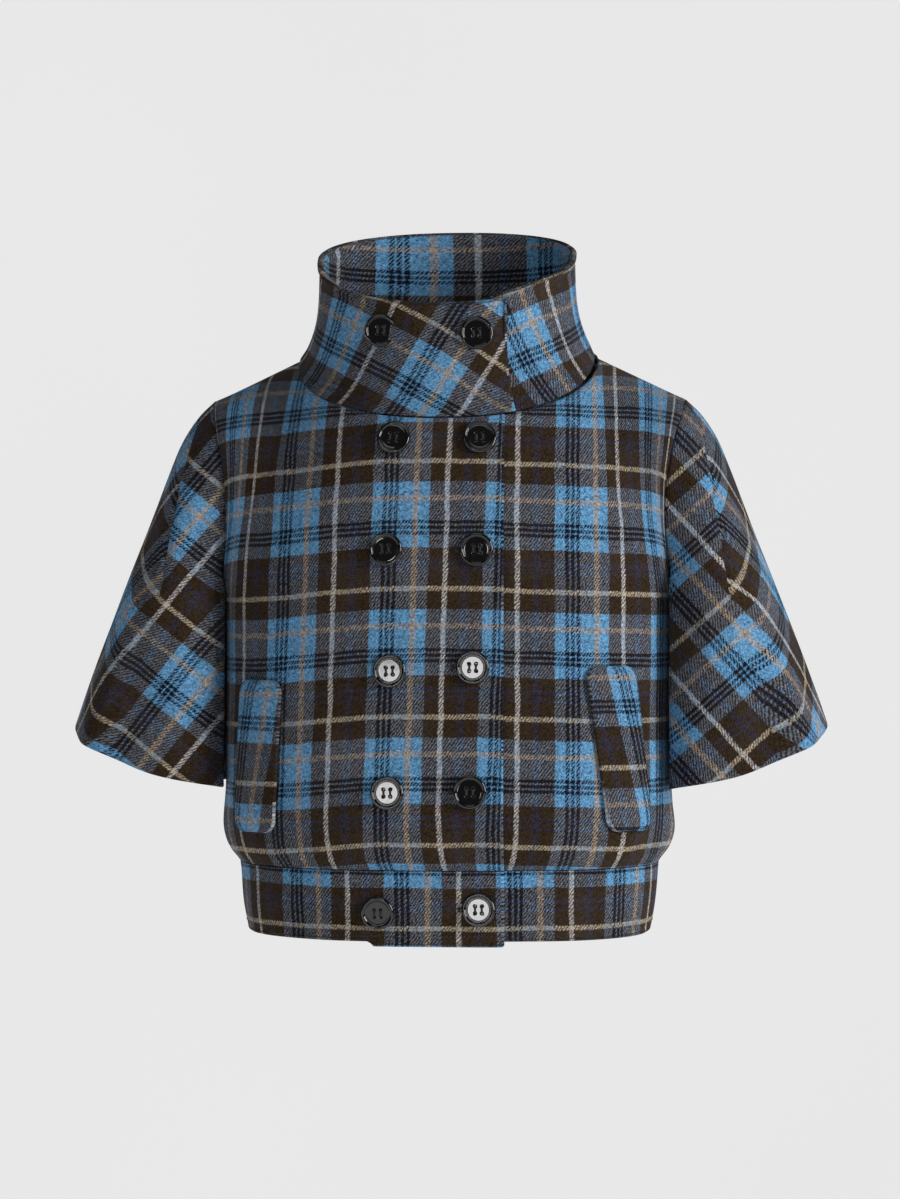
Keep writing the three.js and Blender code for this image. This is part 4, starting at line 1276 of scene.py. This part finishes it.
def button_frame(name):
    """Seat, right, up and outward axis of a button, read from its node."""
    points = cad_points(name)
    centre = (points.min(axis=0) + points.max(axis=0)) / 2
    axis = np.linalg.svd(points - points.mean(axis=0))[2][-1]
    out = axis * -np.sign(axis[1])
    seat = centre + out * ((points - centre) @ out).min()
    if name in MIRRORING:
        across, high = MIRRORING[name]
        aim = SOFTBOX_AT + np.array([across, 0, high])
        out = unit(unit(aim - seat) + unit(CAMERA_AT - seat))
    right = unit(np.cross(out, np.array([0.0, 0.0, 1.0]))) * -1
    return seat, right, np.cross(out, right), out


def thread_bars(seat, right, up, out, spin):
    """The crossing threads of a sewn button: two bars of strands, and the wound stem below."""
    c, s = math.cos(spin), math.sin(spin)
    right, up = right * c + up * s, up * c - right * s
    tubes = []
    for sx in (-1, 1):
        for strand in range(4):
            off = sx * HOLE_REACH + (strand - 1.5) * 0.42
            arc = np.linspace(-1, 1, 11)[:, None]
            along = arc * (HOLE_REACH + 0.35)
            height = BUTTON_FLOOR + 0.62 - 1.9 * np.abs(arc) ** 5 - 0.12 * abs(strand - 1.5)
            tubes.append(tube(seat + right * off + up * along + out * height, 0.27))
    turn = np.linspace(0, 10 * np.pi, 80)[:, None]
    wind = seat + 1.7 * (np.cos(turn) * right + np.sin(turn) * up) + out * np.linspace(-1.3, 0.1, 80)[:, None]
    tubes.append(tube(wind, 0.3, 5))
    return tubes


BUTTON_ROWS = ("collar", "chest", "bust", "waist", "low", "hem")
BUTTON_NAMES = [
    f"button_{row}_{column}"
    for row in BUTTON_ROWS
    for column in ("outer", "inner")
]
buttons, button_threads = [], []
for number, name in enumerate(BUTTON_NAMES):
    place = button_frame(name)
    spin = math.radians((0, 7, -5, 3, 8, -4, 2, -6, 5, -3, 0, 4)[number])
    buttons.append(button_mesh(name, *place))
    button_threads += thread_bars(*place, spin)
sewn_threads = threads_piece("button_threads", button_threads, dark_thread)


def surface_at(points, x, z):
    """The front point of a grid nearest to x and z, with its outward normal."""
    off = np.hypot(points[..., 0] - x, points[..., 2] - z) + np.where(points[..., 1] > 0, 1e6, 0)
    i, k = np.unravel_index(np.argmin(off), off.shape)
    normal = grid_normals(points)[i, k]
    return points[i, k], normal * -np.sign(normal[1])


def buttonhole(points, x, z, length):
    """Close stitches round a level slit, with a bar across its outer end."""
    tubes = []
    for number, at in enumerate(np.arange(-length / 2, length / 2, 0.75)):
        seat, normal = surface_at(points, x + at, z)
        seat = np.array([x + at, seat[1], z])
        for way in (-1, 1):
            tall = 2.1 + 0.25 * math.sin(3.7 * number + way)
            path = [seat + normal * h + np.array([0, 0, way * v]) for v, h in ((0.2, 0.1), (0.7, 0.42), (tall, 0.05))]
            tubes.append(tube(path, 0.3, 5))
    end, normal = surface_at(points, x - length / 2, z)
    for step in (-0.5, 0.1, 0.7):
        centre = np.array([x - length / 2 - 0.4 + step, end[1], z])
        path = [centre + normal * h + np.array([0, 0, v]) for v, h in ((-2.6, 0.1), (0, 0.6), (2.6, 0.1))]
        tubes.append(tube(path, 0.33, 5))
    return tubes


hole_tubes = []
for row, piece_points in (("collar", collar_points), ("hem", hem_right_points)):
    seat = button_frame(f"button_{row}_inner")[0]
    hole_tubes += buttonhole(piece_points, seat[0] - 4, seat[2], 24)
for row in BUTTON_ROWS[1:-1]:
    seat = button_frame(f"button_{row}_inner")[0]
    hole_tubes += buttonhole(over_points, seat[0] - 4, seat[2], 24)
buttonholes = threads_piece("buttonholes", hole_tubes, dark_thread)


def stitch_row(path, normals, pitch=3.6, gap=1.0, radius=0.26):
    """Machine stitches along a line of points, sunk a little where they enter the cloth."""
    length = np.concatenate([[0], np.cumsum(np.linalg.norm(np.diff(path, axis=0), axis=-1))])
    tubes = []
    for start in np.arange(2, length[-1] - pitch, pitch):
        at = np.linspace(start, start + pitch - gap, 4)
        spots = np.stack([np.interp(at, length, path[:, k]) for k in range(3)], axis=-1)
        out = np.stack([np.interp(at, length, normals[:, k]) for k in range(3)], axis=-1)
        tubes.append(tube(spots + out * np.array([[-0.12], [0.16], [0.16], [-0.12]]), radius, 5))
    return tubes


hem_tubes = []
for points, way in ((hem_right_points, -1), (hem_left_points, 1), (hem_back_points, 1)):
    rise = np.argmin(np.abs(points[:, :, 2] - (points[:, :1, 2] + 9)), axis=1)
    line = points[np.arange(len(points)), rise]
    line[:, 2] = points[:, 0, 2] + 9
    normals = way * grid_normals(points)[np.arange(len(points)), rise]
    hem_tubes += stitch_row(line, normals)
hem_stitches = threads_piece("hem_topstitch", hem_tubes, brown_thread)


def declare(points):
    """Measures a piece's flat cut: its extent on the cloth and its own area."""
    across = np.linalg.norm(np.diff(points, axis=0), axis=-1).sum(axis=0).max()
    along = np.linalg.norm(np.diff(points, axis=1), axis=-1).sum(axis=1).max()
    da, db = points[1:, :-1] - points[:-1, :-1], points[:-1, 1:] - points[:-1, :-1]
    area = np.linalg.norm(np.cross(da, db), axis=-1).sum()
    return round(across), round(along), round(area / 100)


cuts = {
    "back": declare(back_points),
    "front_right": declare(over_points),
    "front_left": declare(under_points),
    "sleeve_left": declare(left_sleeve_points),
    "sleeve_right": declare(right_sleeve_points),
    "collar": declare(collar_points),
    "hem_band_right": declare(hem_right_points),
    "hem_band_left": declare(hem_left_points),
    "hem_band_back": declare(hem_back_points),
}
for (piece, points), front in zip(welts, (under_front, over_front)):
    cuts[piece.name] = declare(points)
print("cuts", cuts)


def backdrop():
    """A seamless pale sweep: floor, a wide bend and a wall behind."""
    profile = [(-4200, -1500), (2900, -1500)]
    profile += [(2900 + 900 * math.sin(a), -600 - 900 * math.cos(a)) for a in np.linspace(0.1, math.pi / 2, 14)]
    profile += [(3800, 4200)]
    vertices = np.array([(x, y, z) for x in (-6500, 6500) for y, z in profile], float)
    n = len(profile)
    faces = [(k, n + k, n + k + 1, k + 1) for k in range(n - 1)]
    material, t, shader = new_material("pale_paper_sweep")
    place = t.add("ShaderNodeTexCoord")
    uneven = t.noise(place.outputs["Object"], 0.8, 2.0)
    tone = t.blend(uneven, linear(231, 231, 232), linear(235, 235, 236))
    shader.inputs["Roughness"].default_value = 0.9
    shader.inputs["Base Color"].default_value = (0.02, 0.02, 0.02, 1)
    shader.inputs["Specular IOR Level"].default_value = 0.0
    t.link(tone, shader.inputs["Emission Color"])
    shader.inputs["Emission Strength"].default_value = 0.98
    corners = [vertices[k][:2] * MM for face in faces for k in face]
    sweep = make_mesh("backdrop", vertices, faces, corners, [material])


backdrop()


def aimed_light(name, at, target, size, power, colour=(1, 1, 1)):
    light = bpy.data.lights.new(name, "AREA")
    light.shape = "RECTANGLE"
    light.size, light.size_y = size
    light.energy = power
    light.color = colour
    lamp = bpy.data.objects.new(name, light)
    bpy.context.collection.objects.link(lamp)
    lamp.location = Vector(at) * MM
    lamp.rotation_euler = (Vector(target) - Vector(at)).to_track_quat("-Z", "Y").to_euler()


aimed_light("softbox", SOFTBOX_AT, (0, 0, -300), (0.22, 0.22), 1.4)
aimed_light("left", (-1300, -2100, 500), (0, 0, -190), (0.5, 1.1), 3)
aimed_light("right", (2300, -1250, 350), (0, 0, -190), (0.8, 1.4), 52)
aimed_light("top", (0, -1500, 1700), (0, 0, -190), (1.4, 0.8), 6.5)
aimed_light("low", (0, -1600, -1750), (0, 0, -300), (1.2, 0.5), 4)

world = bpy.data.worlds.new("studio")
bpy.context.scene.world = world
world.use_nodes = True
world.node_tree.nodes["Background"].inputs[0].default_value = (0.95, 0.97, 1.0, 1.0)
world.node_tree.nodes["Background"].inputs[1].default_value = 0.06

camera_data = bpy.data.cameras.new("camera")
camera = bpy.data.objects.new("camera", camera_data)
bpy.context.collection.objects.link(camera)
camera.location = Vector(CAMERA_AT) * MM
camera.rotation_euler = (math.pi / 2, 0, CAMERA_TURN)
camera_data.sensor_fit = "HORIZONTAL"
camera_data.sensor_width = 36
camera_data.lens = 36 * CAMERA_REACH / 756
bpy.context.scene.camera = camera
bpy.context.scene.view_settings.view_transform = "Standard"
